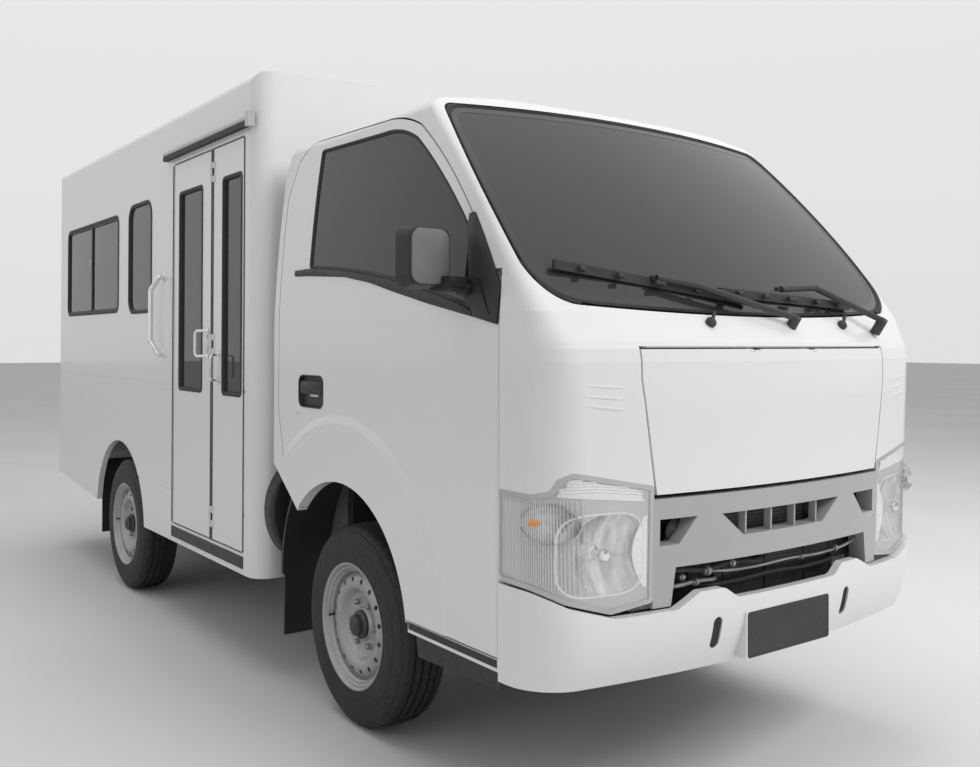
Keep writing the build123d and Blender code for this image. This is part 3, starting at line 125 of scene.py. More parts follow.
def woven(name, dark, light, pitch):
    """Upholstery cloth: two crossed thread waves under a soft sheen, with slow colour changes."""
    mat, tree, shader = new_material(name, {"Roughness": 0.92, "Sheen Weight": 0.25,
                                            "Specular IOR Level": 0.2})
    tree.links.new(ramp(tree, noise(tree, 9, 5.0, 0.6), [(0.3, dark), (0.7, light)]),
                   shader.inputs["Base Color"])
    heights = []
    for direction in ("X", "Y"):
        wave = node(tree, "ShaderNodeTexWave", Scale=pi / pitch / 20, Distortion=0.6)
        wave.bands_direction = direction
        tree.links.new(object_coords(tree, (1, 1, 1.3)), wave.inputs["Vector"])
        heights.append(wave.outputs["Fac"])
    both = node(tree, "ShaderNodeMath", operation="MULTIPLY")
    for number, height in enumerate(heights):
        tree.links.new(height, both.inputs[number])
    bumped(tree, shader, both.outputs[0], 0.5, 0.0006)
    return mat


def glass_material(name, tint, see_through, rough=0.02, waves=0.04, wave_scale=2.2):
    """Sheet or moulded glass, a little uneven, so its reflections waver."""
    mat, tree, shader = new_material(name, {"Roughness": rough, "IOR": 1.5,
                                            "Transmission Weight": see_through})
    low = tuple(c * 0.85 for c in tint)
    tree.links.new(ramp(tree, noise(tree, 1.1, 2.0), [(0.3, low), (0.7, tint)]), shader.inputs["Base Color"])
    bumped(tree, shader, noise(tree, wave_scale, 1.0), waves, 0.01)
    return mat


paint = surface("white_paint", (0.76, 0.762, 0.765), (0.772, 0.774, 0.777), (0.3, 0.32), 0.5, bump=0.004,
                bump_scale=260, coat=0.5, coat_rough=0.08)
grille_grey = surface("grille_paint", (0.38, 0.385, 0.39), (0.41, 0.415, 0.42), (0.34, 0.42), 3, bump=0.03,
                      bump_scale=600, coat=0.3, coat_rough=0.2)
bezel_grey = surface("lamp_bezel", (0.44, 0.445, 0.45), (0.52, 0.525, 0.53), (0.2, 0.28), 5, metallic=0.25,
                     bump=0.03, bump_scale=500, coat=0.3)
mirror_grey = surface("mirror_plastic", (0.155, 0.157, 0.16), (0.185, 0.187, 0.19), (0.36, 0.46), 9,
                      bump=0.15, bump_scale=1400)
black_plastic = surface("black_plastic", (0.012, 0.012, 0.013), (0.02, 0.02, 0.021), (0.4, 0.55), 9,
                        bump=0.25, bump_scale=1200)
wiper_black = surface("wiper_black", (0.03, 0.03, 0.031), (0.046, 0.046, 0.047), (0.42, 0.55), 12, bump=0.2,
                      bump_scale=900)
duct_black = surface("duct_plastic", (0.018, 0.018, 0.019), (0.03, 0.03, 0.031), (0.38, 0.5), 4, bump=0.3,
                     bump_scale=500)
rubber = surface("seal_rubber", (0.01, 0.01, 0.01), (0.017, 0.017, 0.017), (0.5, 0.65), 14, bump=0.15,
                 bump_scale=700)
frit = surface("screen_frit", (0.014, 0.014, 0.015), (0.02, 0.02, 0.021), (0.22, 0.3), 5, bump=0.02,
               bump_scale=700, coat=0.5)
tyre_rubber = surface("tyre_rubber", (0.012, 0.012, 0.013), (0.02, 0.02, 0.021), (0.62, 0.78), 12, bump=0.3,
                      bump_scale=500)
rim_silver = surface("rim_silver", (0.33, 0.335, 0.34), (0.4, 0.405, 0.41), (0.34, 0.44), 8, metallic=0.55,
                     bump=0.06, bump_scale=500)
hub_dark = surface("hub_metal", (0.045, 0.044, 0.043), (0.09, 0.088, 0.085), (0.4, 0.6), 30, metallic=0.6,
                   bump=0.3, bump_scale=400)
chassis_black = surface("chassis_paint", (0.014, 0.014, 0.015), (0.035, 0.034, 0.033), (0.4, 0.62), 7,
                        bump=0.2, bump_scale=300)
cast_iron = surface("cast_metal", (0.05, 0.05, 0.052), (0.12, 0.118, 0.115), (0.5, 0.75), 15, metallic=0.5,
                    bump=0.5, bump_scale=160)
steel = surface("pipe_steel", (0.28, 0.27, 0.26), (0.45, 0.44, 0.43), (0.35, 0.55), 14, metallic=0.9,
                bump=0.2, bump_scale=240)
chrome = surface("chrome", (0.74, 0.74, 0.75), (0.82, 0.82, 0.83), (0.05, 0.1), 20, metallic=1.0, bump=0.02,
                 bump_scale=400)
reflector = surface("lamp_reflector", (0.34, 0.345, 0.35), (0.97, 0.975, 0.98), (0.08, 0.16), 16,
                    metallic=0.85, bump=0.35, bump_scale=60, stretch=(2.2, 1.0, 0.45), height=0.004)
lamp_white = surface("lamp_moulding", (0.74, 0.745, 0.75), (0.84, 0.845, 0.85), (0.25, 0.35), 9, metallic=0.2,
                     bump=0.05, bump_scale=200)
amber = surface("amber_bulb", (0.8, 0.22, 0.02), (0.9, 0.3, 0.04), (0.15, 0.25), 30, coat=0.5)
aluminium = surface("aluminium", (0.52, 0.52, 0.53), (0.62, 0.62, 0.63), (0.3, 0.42), 20, metallic=0.9,
                    bump=0.1, bump_scale=300, stretch=(1, 0.05, 1))
rail_grey = surface("rail_channel", (0.5, 0.5, 0.51), (0.58, 0.58, 0.59), (0.35, 0.45), 10, metallic=0.5,
                    bump=0.06, bump_scale=300)
plate_dark = surface("blank_plate", (0.02, 0.019, 0.019), (0.03, 0.028, 0.028), (0.4, 0.5), 12, bump=0.05,
                     bump_scale=400)
red_lens = surface("red_lens", (0.35, 0.01, 0.01), (0.45, 0.015, 0.012), (0.12, 0.22), 6, coat=0.6)
clear_lens = surface("clear_lens", (0.7, 0.7, 0.71), (0.8, 0.8, 0.81), (0.1, 0.18), 6, coat=0.6)
amber_lens = surface("amber_lens", (0.7, 0.22, 0.02), (0.8, 0.28, 0.03), (0.12, 0.2), 6, coat=0.6)
mirror_glass = surface("mirror_silver", (0.7, 0.71, 0.72), (0.74, 0.75, 0.76), (0.01, 0.02), 1, metallic=1.0)
seat_fabric = woven("seat_fabric", (0.045, 0.046, 0.05), (0.075, 0.076, 0.082), 0.0022)
dark_glass = glass_material("dark_glass", (0.055, 0.057, 0.06), 0.35)


def clear_shell(name, tint, cover, rough):
    """A thin clear moulding that light passes straight through, with its own gloss and slow ripples."""
    mat, tree, shader = new_material(name, {"Alpha": cover, "Roughness": rough, "Coat Weight": 1.0,
                                            "Coat Roughness": 0.02})
    low = tuple(c * 0.94 for c in tint)
    tree.links.new(ramp(tree, noise(tree, 8, 2.0), [(0.3, low), (0.7, tint)]), shader.inputs["Base Color"])
    bumped(tree, shader, noise(tree, 14, 1.0), 0.05, 0.004)
    return mat


lamp_glass = clear_shell("lamp_glass", (0.9, 0.91, 0.92), 0.16, 0.05)
# a whiter, mostly opaque copy of the lens glass for the flutes: painted sheen for the light they catch
flute_glass_painted_sheen = clear_shell("flute_glass_painted_sheen", (0.9, 0.91, 0.92), 0.75, 0.12)

# the finish of each CAD node by the start of its name; the others are painted
FINISHES = ((chassis_black, "chassis_frame front_suspension rear_axle fuel_tank rear_bumper"),
            (cast_iron, "powertrain steering_knuckle"), (steel, "exhaust"), (rim_silver, "rim"),
            (dark_glass, "cab_glass body_glass rear_door_glass door_glass entry_glass"),
            (black_plastic, "dashboard steering_wheel cab_steps mirror"), (duct_black, "mudguards air_duct"),
            (grille_grey, "grille"), (bezel_grey, "headlamps"), (lamp_glass, "headlamp_lenses"),
            (wiper_black, "wipers"), (aluminium, "body_floor passenger_benches"), (rail_grey, "entry_rail"),
            (red_lens, "tail_lamps"), (chrome, "boarding_handle entry_handle"),
            (seat_fabric, "cab_seats bench_cushions"), (tyre_rubber, "spare_wheel tyre"))
for name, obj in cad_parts.items():
    finish = next((material for material, starts in FINISHES if name.startswith(tuple(starts.split()))),
                  paint)
    obj.data.materials.clear()
    obj.data.materials.append(finish)

# ------------------------------------------------------------------ piece-making tools


def at(x, distance, z):
    """A point from millimetres, its second value measured behind the front axle."""
    return Vector((x / 1000, AXLE + distance / 1000, z / 1000))


def piece(name, parts, material, body="vehicle", smooth=35, bevel=0.0, segments=2):
    """A mesh piece of one part or a list of parts that rides on a body, shaded smooth up to an angle."""
    points, faces = join_parts(parts) if isinstance(parts, list) else parts
    mesh = bpy.data.meshes.new(name)
    mesh.from_pydata([tuple(p) for p in points], [], faces)
    mesh.materials.append(material)
    work = bmesh.new()
    work.from_mesh(mesh)
    bmesh.ops.remove_doubles(work, verts=work.verts, dist=1e-5)
    bmesh.ops.recalc_face_normals(work, faces=work.faces)
    work.to_mesh(mesh)
    work.free()
    obj = bpy.data.objects.new(name, mesh)
    bpy.context.collection.objects.link(obj)
    if bevel:
        rounding = obj.modifiers.new("bevel", "BEVEL")
        rounding.width = bevel
        rounding.segments = segments
        rounding.limit_method = "ANGLE"
        rounding.angle_limit = radians(35)
    mesh.polygons.foreach_set("use_smooth", [True] * len(mesh.polygons))
    mesh.set_sharp_from_angle(angle=radians(smooth))
    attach(obj, body)
    return obj


def join_parts(parts):
    """Points and faces of several parts as one mesh."""
    points, faces = [], []
    for part_points, part_faces in parts:
        start = len(points)
        points += part_points
        faces += [tuple(start + i for i in face) for face in part_faces]
    return points, faces


def loft(rings, closed_ring=True, caps=True):
    """A skin through rings of equally many points."""
    count = len(rings[0])
    points = [p for ring in rings for p in ring]
    faces = []
    around = count if closed_ring else count - 1
    for row in range(len(rings) - 1):
        for i in range(around):
            j = (i + 1) % count
            faces.append((row * count + i, row * count + j, (row + 1) * count + j, (row + 1) * count + i))
    if caps:
        faces.append(tuple(range(count))[::-1])
        faces.append(tuple((len(rings) - 1) * count + i for i in range(count)))
    return points, faces


def turned(spot, degrees, axis):
    """The matrix of a part turned about an axis at a spot."""
    return Matrix.Translation(spot) @ Matrix.Rotation(radians(degrees), 4, axis)


def outward(spot, side):
    """The matrix at a spot whose Z points out of the vehicle on a side."""
    turn = Matrix(((0, 0, side, 0), (1, 0, 0, 0), (0, side, 0, 0), (0, 0, 0, 1)))
    return Matrix.Translation(spot) @ turn


def bead(line, rise, spread, steps=4, swells=None):
    """A half-round moulding along a line, from its height and its half-width as vectors."""
    return loft([[p + (rise * sin(t) + spread * cos(t)) * swell
                  for t in (pi * i / steps for i in range(steps + 1))]
                 for p, swell in zip(line, swells or [1.0] * len(line))])


def rod(start, end, radius, sides=12, end_radius=None):
    """A round bar or cone between two points."""
    start, end = Vector(start), Vector(end)
    turn = (end - start).to_track_quat("Z", "Y")
    rings = []
    for centre, size in ((start, radius), (end, radius if end_radius is None else end_radius)):
        rings.append([centre + turn @ Vector((cos(a) * size, sin(a) * size, 0))
                      for a in (2 * pi * i / sides for i in range(sides))])
    return loft(rings)


def lathe(plane, profile, sides=32):
    """A closed revolved form: a plane's matrix and a profile of (radius, height) from axis to axis."""
    rings = [[plane @ Vector((r * cos(a), r * sin(a), h))
              for a in (2 * pi * i / sides for i in range(sides))] for r, h in profile]
    return loft(rings)


def slab(low, high):
    """A block's points and faces between two corners."""
    (x0, y0, z0), (x1, y1, z1) = low, high
    base = [(x0, y0), (x1, y0), (x1, y1), (x0, y1)]
    return loft([[Vector((x, y, z)) for x, y in base] for z in (z0, z1)])


def rounded_outline(half_a, half_b, radius, steps=6):
    """Corner-rounded rectangle about the origin."""
    outline = []
    for corner, (sa, sb) in enumerate(((1, 1), (-1, 1), (-1, -1), (1, -1))):
        for step in range(steps + 1):
            angle = pi / 2 * (corner + step / steps)
            outline.append((sa * (half_a - radius) + radius * cos(angle),
                            sb * (half_b - radius) + radius * sin(angle)))
    return outline


def rounded_rings(spot_of, half_a, half_b, radius, steps, least):
    """Rings of a corner-rounded form: spot_of places (a, b, depth), steps are (inset, depth)."""
    return [[spot_of(a, b, depth)
             for a, b in rounded_outline(half_a - inset, half_b - inset, max(radius - inset, least))]
            for inset, depth in steps]


def trim_corners(sides, reach):
    """One closed outline of dense side lines, its corners rounded with a curve that starts a reach away."""
    outline = []
    count = len(sides)
    trimmed = []
    for number, side in enumerate(sides):
        near, far = reach[number], reach[(number + 1) % count]
        kept = [p for p in side if (p - side[0]).length > near and (p - side[-1]).length > far]
        trimmed.append(kept)
    for number, kept in enumerate(trimmed):
        outline += kept
        following = trimmed[(number + 1) % count]
        corner = sides[number][-1]
        a, b = kept[-1], following[0]
        for step in range(1, 8):
            t = step / 8
            outline.append(a * (1 - t) ** 2 + corner * 2 * t * (1 - t) + b * t * t)
    return outline


def arc3(a, b, c, steps=24):
    """Points on the circle arc from a through b to c, in the plane of the drawing."""
    ax, ay, bx, by, cx, cy = a[0], a[1], b[0], b[1], c[0], c[1]
    d = 2 * (ax * (by - cy) + bx * (cy - ay) + cx * (ay - by))
    if abs(d) < 1e-9:
        return [Vector(a).lerp(Vector(c), i / steps) for i in range(steps + 1)]
    ux = ((ax**2 + ay**2) * (by - cy) + (bx**2 + by**2) * (cy - ay) + (cx**2 + cy**2) * (ay - by)) / d
    uy = ((ax**2 + ay**2) * (cx - bx) + (bx**2 + by**2) * (ax - cx) + (cx**2 + cy**2) * (bx - ax)) / d
    start, middle, end = (atan2(p[1] - uy, p[0] - ux) for p in (a, b, c))
    sweep = (end - start) % (2 * pi)
    if (middle - start) % (2 * pi) > sweep:
        sweep -= 2 * pi
    radius = hypot(ax - ux, ay - uy)
    return [Vector((ux + radius * cos(start + sweep * i / steps),
                    uy + radius * sin(start + sweep * i / steps))) for i in range(steps + 1)]


def line2(a, b, steps=24):
    return [Vector(a).lerp(Vector(b), i / steps) for i in range(steps + 1)]


def inward(outline, distance):
    """The closed outline moved in by a distance (out when negative), for an anticlockwise outline."""
    moved = []
    count = len(outline)
    area = sum(outline[i].x * outline[(i + 1) % count].y - outline[(i + 1) % count].x * outline[i].y
               for i in range(count))
    sign = 1 if area > 0 else -1
    for i in range(count):
        tangent = (outline[(i + 1) % count] - outline[i - 1]).normalized()
        moved.append(outline[i] + Vector((-tangent.y, tangent.x)) * distance * sign)
    return moved


def surface_of(*names):
    """Something to drape on: the skins of CAD nodes as one search tree."""
    points, faces = [], []
    for name in names:
        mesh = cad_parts[name].data
        start = len(points)
        points += [v.co.copy() for v in mesh.vertices]
        faces += [tuple(start + i for i in p.vertices) for p in mesh.polygons]
    return BVHTree.FromPolygons(points, faces)


def onto(tree, point, direction, lift):
    """Where a ray meets a skin, lifted towards where the ray came from."""
    direction = Vector(direction)
    if isinstance(tree, float):   # the cab's side, set back by this much
        side = -direction.x
        return Vector((side * (cab_side(point.z * 1000) / 1000 - tree + lift), point.y, point.z))
    hit, normal, _, _ = tree.ray_cast(point, direction)
    if hit is None:
        near, normal, _, _ = tree.find_nearest(point + direction * 2.0)
        hit = point + direction * (near - point).dot(direction)
    return hit - direction * lift


def cab_side(height):
    """Half-width of the cab's skin at a height, in millimetres."""
    share = max(0.0, height - 1425) / (2160 - 1425)
    return 845 - (845 - 771) * (0.41 * share + 0.59 * share ** 2)


def view_point(kind, a, b):
    """A start point for a ray from the front ('front': x, z) or from a side (±1: distance, z), in mm."""
    if kind == "front":
        return Vector((a / 1000, AXLE - 2.0, b / 1000)), Vector((0, 1, 0))
    return Vector((kind * 2.0, AXLE + a / 1000, b / 1000)), Vector((-kind, 0, 0))


def drape(tree, kind, a, b, lift=0.0):
    """The point on a skin seen at (a, b) in millimetres, lifted towards the viewer."""
    return onto(tree, *view_point(kind, a, b), lift)


def draped_band(name, tree, kind, outer, inner, heights, material, body="vehicle", closed=True,
                under=0.004):
    """A band between two outlines laid on a skin; heights are its lifts in metres from outer to inner."""
    rings = []
    for share, lift in (*heights, (1.0, -under), (0.0, -under)):
        spots = (a.lerp(b, share) for a, b in zip(outer, inner))
        rings.append([drape(tree, kind, spot.x, spot.y, lift) for spot in spots])
    points, faces = loft(rings + [rings[0]], closed_ring=closed, caps=False)
    if not closed:
        count, rows = len(rings[0]), range(len(rings))
        faces.append(tuple(row * count for row in rows))
        faces.append(tuple(row * count + count - 1 for row in rows)[::-1])
    return piece(name, (points, faces), material, body)


def tube(name, points, radius, material):
    """A smooth hose or bent pipe through points, fixed to the vehicle."""
    curve = bpy.data.curves.new(name, "CURVE")
    curve.dimensions = "3D"
    curve.bevel_depth = radius
    curve.bevel_resolution = 4
    curve.resolution_u = 6
    curve.use_fill_caps = True
    spline = curve.splines.new("BEZIER")
    spline.bezier_points.add(len(points) - 1)
    for handle, point in zip(spline.bezier_points, points):
        handle.co = point
        handle.handle_left_type = handle.handle_right_type = "AUTO"
    curve.materials.append(material)
    obj = bpy.data.objects.new(name, curve)
    bpy.context.collection.objects.link(obj)
    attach(obj, "vehicle")

# ------------------------------------------------------------------ wheels: tyres, nuts and hubs
TYRE_R, BEAD_R = 0.35, 0.2035
GROOVES = (-0.045, -0.016, 0.016, 0.045)
SIPE_DEPTH = 0.0035


def tyre_profile():
    """Section of the tyre from bead to bead as (across, radius, 1 on a groove's edge)."""
    side = [(-0.0775, BEAD_R), (-0.084, 0.21), (-0.09, 0.2165), (-0.0945, 0.2175), (-0.0955, 0.222),
            (-0.0945, 0.226), (-0.0965, 0.236), (-0.097, 0.252), (-0.097, 0.268), (-0.0955, 0.284),
            (-0.0945, 0.2845), (-0.0935, 0.29), (-0.0935, 0.296), (-0.0915, 0.306), (-0.0885, 0.318),
            (-0.086, 0.3255), (-0.0825, 0.3275), (-0.079, 0.336), (-0.0735, 0.343), (-0.064, 0.3475)]
    section = [(x, r, 0.0) for x, r in side]
    for centre in GROOVES:
        section += [(centre - 0.0052, TYRE_R - abs(centre) * 0.035, 1.0),
                    (centre - 0.004, TYRE_R - 0.008, 0.0), (centre + 0.004, TYRE_R - 0.008, 0.0),
                    (centre + 0.0052, TYRE_R - abs(centre) * 0.035, 1.0)]
    return section + [(-x, r, 0.0) for x, r in reversed(side)]


def tyre_mesh(place, name, body, replaced):
    """A tyre with four grooves and sipes cut across its ribs and shoulders."""
    section = tyre_profile()
    around = 240
    rings = []
    for step in range(around):
        angle = 2 * pi * step / around
        ring = []
        for x, r, rib in section:
            cut = step % 5 == 0 and (rib or 0.335 < r < 0.3485)
            reach = r - SIPE_DEPTH if cut else r
            ring.append(place @ Vector((reach * cos(angle), reach * sin(angle), x)))
        rings.append(ring)
    made = piece(name, loft(rings + [rings[0]], caps=False), tyre_rubber, body, smooth=30)
    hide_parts(*replaced)
    return made


def wheel_place(name):
    """Matrix at a wheel's centre whose Z points out of the vehicle, and its side."""
    low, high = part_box(name)
    centre = (Vector(low) + Vector(high)) / 2
    side = 1 if centre.x > 0 else -1
    return outward(centre, side), side


def hexagon_nut(place, radius, angle, height, seat):
    """A wheel nut with a domed end, standing on the disc."""
    centre = Vector((radius * cos(angle), radius * sin(angle), 0))
    rings = []
    for size, z, sides in ((0.0105, seat, 6), (0.0105, seat + height * 0.6, 6),
                           (0.0088, seat + height * 0.72, 6), (0.007, seat + height * 0.95, 6),
                           (0.0035, seat + height, 6)):
        rings.append([place @ (centre + Vector((size * cos(a + angle), size * sin(a + angle), z)))
                      for a in (2 * pi * i / sides for i in range(sides))])
    return loft(rings)


RIM_FACE = [(0.0225, 0.055), (0.054, 0.052), (0.06, 0.044), (0.104, 0.044), (0.112, 0.049), (0.12, 0.063),
            (0.127, 0.0705), (0.136, 0.0735), (0.15, 0.074), (0.164, 0.071), (0.173, 0.064), (0.179, 0.056),
            (0.1835, 0.054), (0.185, 0.06), (0.187, 0.068), (0.1945, 0.074), (0.1965, 0.08), (0.204, 0.0835),
            (0.206, 0.088), (0.21, 0.0935), (0.214, 0.096), (0.218, 0.095), (0.2185, 0.09), (0.215, 0.085),
            (0.206, 0.081), (0.203, 0.077), (0.203, -0.077), (0.206, -0.081), (0.215, -0.085),
            (0.218, -0.09), (0.212, -0.093), (0.199, -0.08), (0.193, -0.077), (0.19, -0.03), (0.18, 0.02),
            (0.179, 0.048), (0.168, 0.06), (0.16, 0.066), (0.149, 0.069), (0.137, 0.0685), (0.131, 0.066),
            (0.125, 0.058), (0.117, 0.044), (0.106, 0.038), (0.06, 0.038), (0.054, -0.04), (0.0225, -0.04)]
VENTS, VENT_CIRCLE, VENT_RADIUS = 16, 0.1585, 0.0088


def rim_mesh(place, name, body, replaced):
    """A pressed steel rim: its revolved section with round vents cut through the disc."""
    sides = 96
    rings = [[place @ Vector((r * cos(a), r * sin(a), h)) for r, h in RIM_FACE]
             for a in (2 * pi * i / sides for i in range(sides))]
    points, faces = loft(rings + [rings[0]], caps=False)
    made = piece(name, (points, faces), rim_silver, body, smooth=35)
    cutters = []
    for number in range(VENTS):
        angle = 2 * pi * (number + 0.5) / VENTS
        x, y = VENT_CIRCLE * cos(angle), VENT_CIRCLE * sin(angle)
        cutters.append(rod(place @ Vector((x, y, 0.03)), place @ Vector((x, y, 0.11)), VENT_RADIUS, 20))
    mesh = bpy.data.meshes.new("vent_cutter")
    mesh.from_pydata([tuple(p) for p in join_parts(cutters)[0]], [], join_parts(cutters)[1])
    cutter = bpy.data.objects.new("vent_cutter", mesh)
    bpy.context.collection.objects.link(cutter)
    cut = made.modifiers.new("vents", "BOOLEAN")
    cut.object = cutter
    cut.solver = "EXACT"
    bpy.context.view_layer.update()
    solid = bpy.data.meshes.new_from_object(made.evaluated_get(bpy.context.evaluated_depsgraph_get()))
    made.modifiers.clear()
    made.data = solid
    bpy.data.objects.remove(cutter)
    solid.set_sharp_from_angle(angle=radians(35))
    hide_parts(*replaced)
    return made


for corner in ("front", "rear"):
    for side_name in ("right", "left"):
        tag = f"{corner}_{side_name}"
        body = f"{tag}_wheel"
        place, side = wheel_place(f"tyre_{tag}")
        tyre_mesh(place, f"tread_tyre_{tag}", body, [f"tyre_{tag}"])
        rim_mesh(place, f"vented_rim_{tag}", body, [f"rim_{tag}"])
        nuts = [hexagon_nut(place, 0.08, 2 * pi * i / 6, 0.018, 0.043) for i in range(6)]
        piece(f"wheel_nuts_{tag}", nuts, steel, body, smooth=30)
        cap = [(0.0, 0.045), (0.05, 0.045), (0.05, 0.06), (0.044, 0.066), (0.037, 0.068), (0.0355, 0.082),
               (0.03, 0.084), (0.024, 0.0885), (0.013, 0.0915), (0.0, 0.092)]
        piece(f"hub_cap_{tag}", lathe(place, [(max(r, 1e-4), h) for r, h in cap], 40), hub_dark, body,
              smooth=30)
        stem = rod(place @ Vector((0.181, 0.0, 0.052)), place @ Vector((0.176, 0.0, 0.082)), 0.0035, 10)
        cap_end = rod(place @ Vector((0.176, 0.0, 0.082)), place @ Vector((0.1745, 0.0, 0.09)), 0.0045, 10)
        piece(f"valve_{tag}", [stem, cap_end], rubber, body)

spare_low, spare_high = (Vector(corner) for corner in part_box("spare_wheel"))
spare_middle = (spare_low + spare_high) / 2
spare_place = Matrix.Translation((spare_middle.x, spare_middle.y, 0.3317)) @ Matrix.Rotation(pi, 4, "X")
tyre_mesh(spare_place, "tread_tyre_spare", "vehicle", ["spare_wheel"])
rim_mesh(spare_place, "vented_rim_spare", "vehicle", ["spare_wheel"])

# ------------------------------------------------------------------ glazing seals and black trims
screen = surface_of("cab_glass")
shell = surface_of("cab_shell", "cab_door_left", "cab_door_right", "front_lid")


def screen_outline(gap):
    """The windscreen's outline seen from the front, in millimetres, drawn in by a gap."""
    half, bottom, top_half, top = 812 - gap, 1452 + gap, 746 - gap, 2098 - gap
    sides = [arc3((-half, bottom), (0, bottom - 32), (half, bottom), 60),
             arc3((half, bottom), (half - 2, 1750), (top_half, top), 40),
             arc3((top_half, top), (0, top + 16), (-top_half, top), 60),
             arc3((-top_half, top), (-half + 2, 1750), (-half, bottom), 40)]
    return trim_corners(sides, (138 - gap, 138 - gap, 50 - gap * 0.6, 50 - gap * 0.6))


edge = screen_outline(0)
outer, inner = inward(edge, 1.5), inward(edge, 34)
draped_band("screen_frit_band", screen, "front", outer, inner, ((0, 0.0012), (0.5, 0.0012), (1, 0.001)), frit,
            under=0.0005)
outer, inner = inward(edge, -6), inward(edge, 15)
draped_band("screen_seal", screen, "front", outer, inner,
            ((0, 0.0045), (0.25, 0.0085), (0.6, 0.0078), (1, 0.0015)), rubber, under=0.001)

cab_window_sides = [line2((-200, 2045), (255, 2055)), line2((255, 2055), (262, 1609)),
                    arc3((262, 1609), (-300, 1545), (-790, 1434), 40), line2((-790, 1434), (-756, 1684), 12),
                    arc3((-756, 1684), (-590, 1858), (-430, 1991), 30),
                    arc3((-430, 1991), (-330, 2031), (-200, 2045), 12)]
window_edge = trim_corners(cab_window_sides, (2, 16, 18, 8, 4, 2))
belt_upper = [Vector((374, 1610))]
belt_upper += [p + Vector((0, 1.5)) for p in arc3((262, 1609), (-300, 1545), (-790, 1434), 40)]
belt_upper.append(Vector((-800, 1432)))
belt_lower = [Vector(p) for p in ((374, 1588), (262, 1584), (100, 1574), (-22, 1566), (-200, 1538),
                                  (-344, 1505), (-560, 1459), (-800, 1414))]


def resample(points, count):
    """The same open line with evenly spaced points."""
    lengths = [0.0]
    for a, b in zip(points, points[1:]):
        lengths.append(lengths[-1] + (b - a).length)
    out, index = [], 0
    for step in range(count):
        goal = lengths[-1] * step / (count - 1)
        while index < len(points) - 2 and lengths[index + 1] < goal:
            index += 1
        span = lengths[index + 1] - lengths[index]
        out.append(points[index].lerp(points[index + 1], (goal - lengths[index]) / span))
    return out


for side, side_name in SIDES:
    body = f"{side_name}_cab_door"
    glass_skin, door_skin = 0.006, 0.0      # set back from the cab's side
    draped_band(f"door_window_seal_{side_name}", glass_skin, side, inward(window_edge, 1),
                inward(window_edge, 13), ((0, 0.0066), (0.35, 0.0074), (1, 0.0012)), rubber, body,
                under=0.001)
    upper, lower = resample(belt_upper, 60), resample(belt_lower, 60)
    draped_band(f"door_belt_strip_{side_name}", door_skin, side, upper, lower,
                ((0, 0.0035), (0.2, 0.0062), (0.75, 0.0062), (1, 0.002)), black_plastic, body,
                closed=False, under=0.002)
    leading = [p for p in inward(arc3((-926, 1480), (-695, 1808), (-439, 2033), 60), -9) if p.y < 1722]
    sail_front = [Vector((-917, 1392))] + leading[1:]
    sail_back = [Vector(p) for p in ((-796, 1416), (-788, 1436), (-772, 1560), (-755, 1686), (-758, 1712))]
    draped_band(f"mirror_sail_{side_name}", door_skin, side, resample(sail_front, 30),
                resample(sail_back, 30), ((0, 0.0035), (0.08, 0.006), (0.9, 0.0055), (1, 0.003)),
                black_plastic, body, closed=False, under=0.002)

    # door handle: moulded cup, lever and lock
    centre = Vector((0, AXLE + 0.225, 1.16))

    def ring_at(proud, half_a, half_b, radius, shift=0.0):
        return [Vector((side * (CAB_HALF + proud), centre.y + a, centre.z + b + shift))
                for a, b in rounded_outline(half_a, half_b, radius)]

    cup = loft([ring_at(0.0, 0.099, 0.059, 0.03), ring_at(0.0022, 0.099, 0.059, 0.03),
                ring_at(0.0022, 0.0955, 0.0555, 0.028), ring_at(-0.012, 0.092, 0.052, 0.026),
                ring_at(-0.0128, 0.04, 0.02, 0.015)], caps=False)
    piece(f"handle_cup_{side_name}", cup, black_plastic, body)
    lever = loft([ring_at(-0.0105, 0.088, 0.024, 0.015, 0.014), ring_at(-0.001, 0.088, 0.024, 0.015, 0.014),
                  ring_at(0.0015, 0.085, 0.021, 0.014, 0.014)])
    piece(f"handle_lever_{side_name}", lever, black_plastic, body, bevel=0.001)
    lock_place = outward((side * (CAB_HALF - 0.0004), AXLE + 0.324, 1.08), side)
    lock = lathe(lock_place, [(1e-4, 0.0), (0.0105, 0.0), (0.0105, 0.0022), (0.009, 0.0032), (0.005, 0.0032),
                              (0.0048, 0.0022), (1e-4, 0.0022)], 24)
    piece(f"door_lock_{side_name}", lock, chrome, body)

    # mirror: painted face over the black housing, and the silvered glass behind it
    face_x, face_z = side * 0.952, 1.584
    face = rounded_rings(
        lambda a, b, y: Vector((face_x + a, AXLE - 0.747 + y, face_z + b)), 0.0655, 0.079, 0.03,
        ((-0.001, 0.02), (0.0, 0.006), (0.0035, 0.0005), (0.012, -0.0015), (0.035, -0.003)), 0.012)
    piece(f"mirror_face_{side_name}", loft(face), mirror_grey, body)
    pane = rounded_rings(
        lambda a, b, y: Vector((face_x + a, AXLE - 0.683 + y, face_z + b)), 0.068, 0.08, 0.026,
        ((0.0, 0.0), (0.0, 0.0012), (0.002, 0.002)), 0.026)
    piece(f"mirror_glass_{side_name}", loft(pane), mirror_glass, body)

# ------------------------------------------------------------------ windows of the passenger box


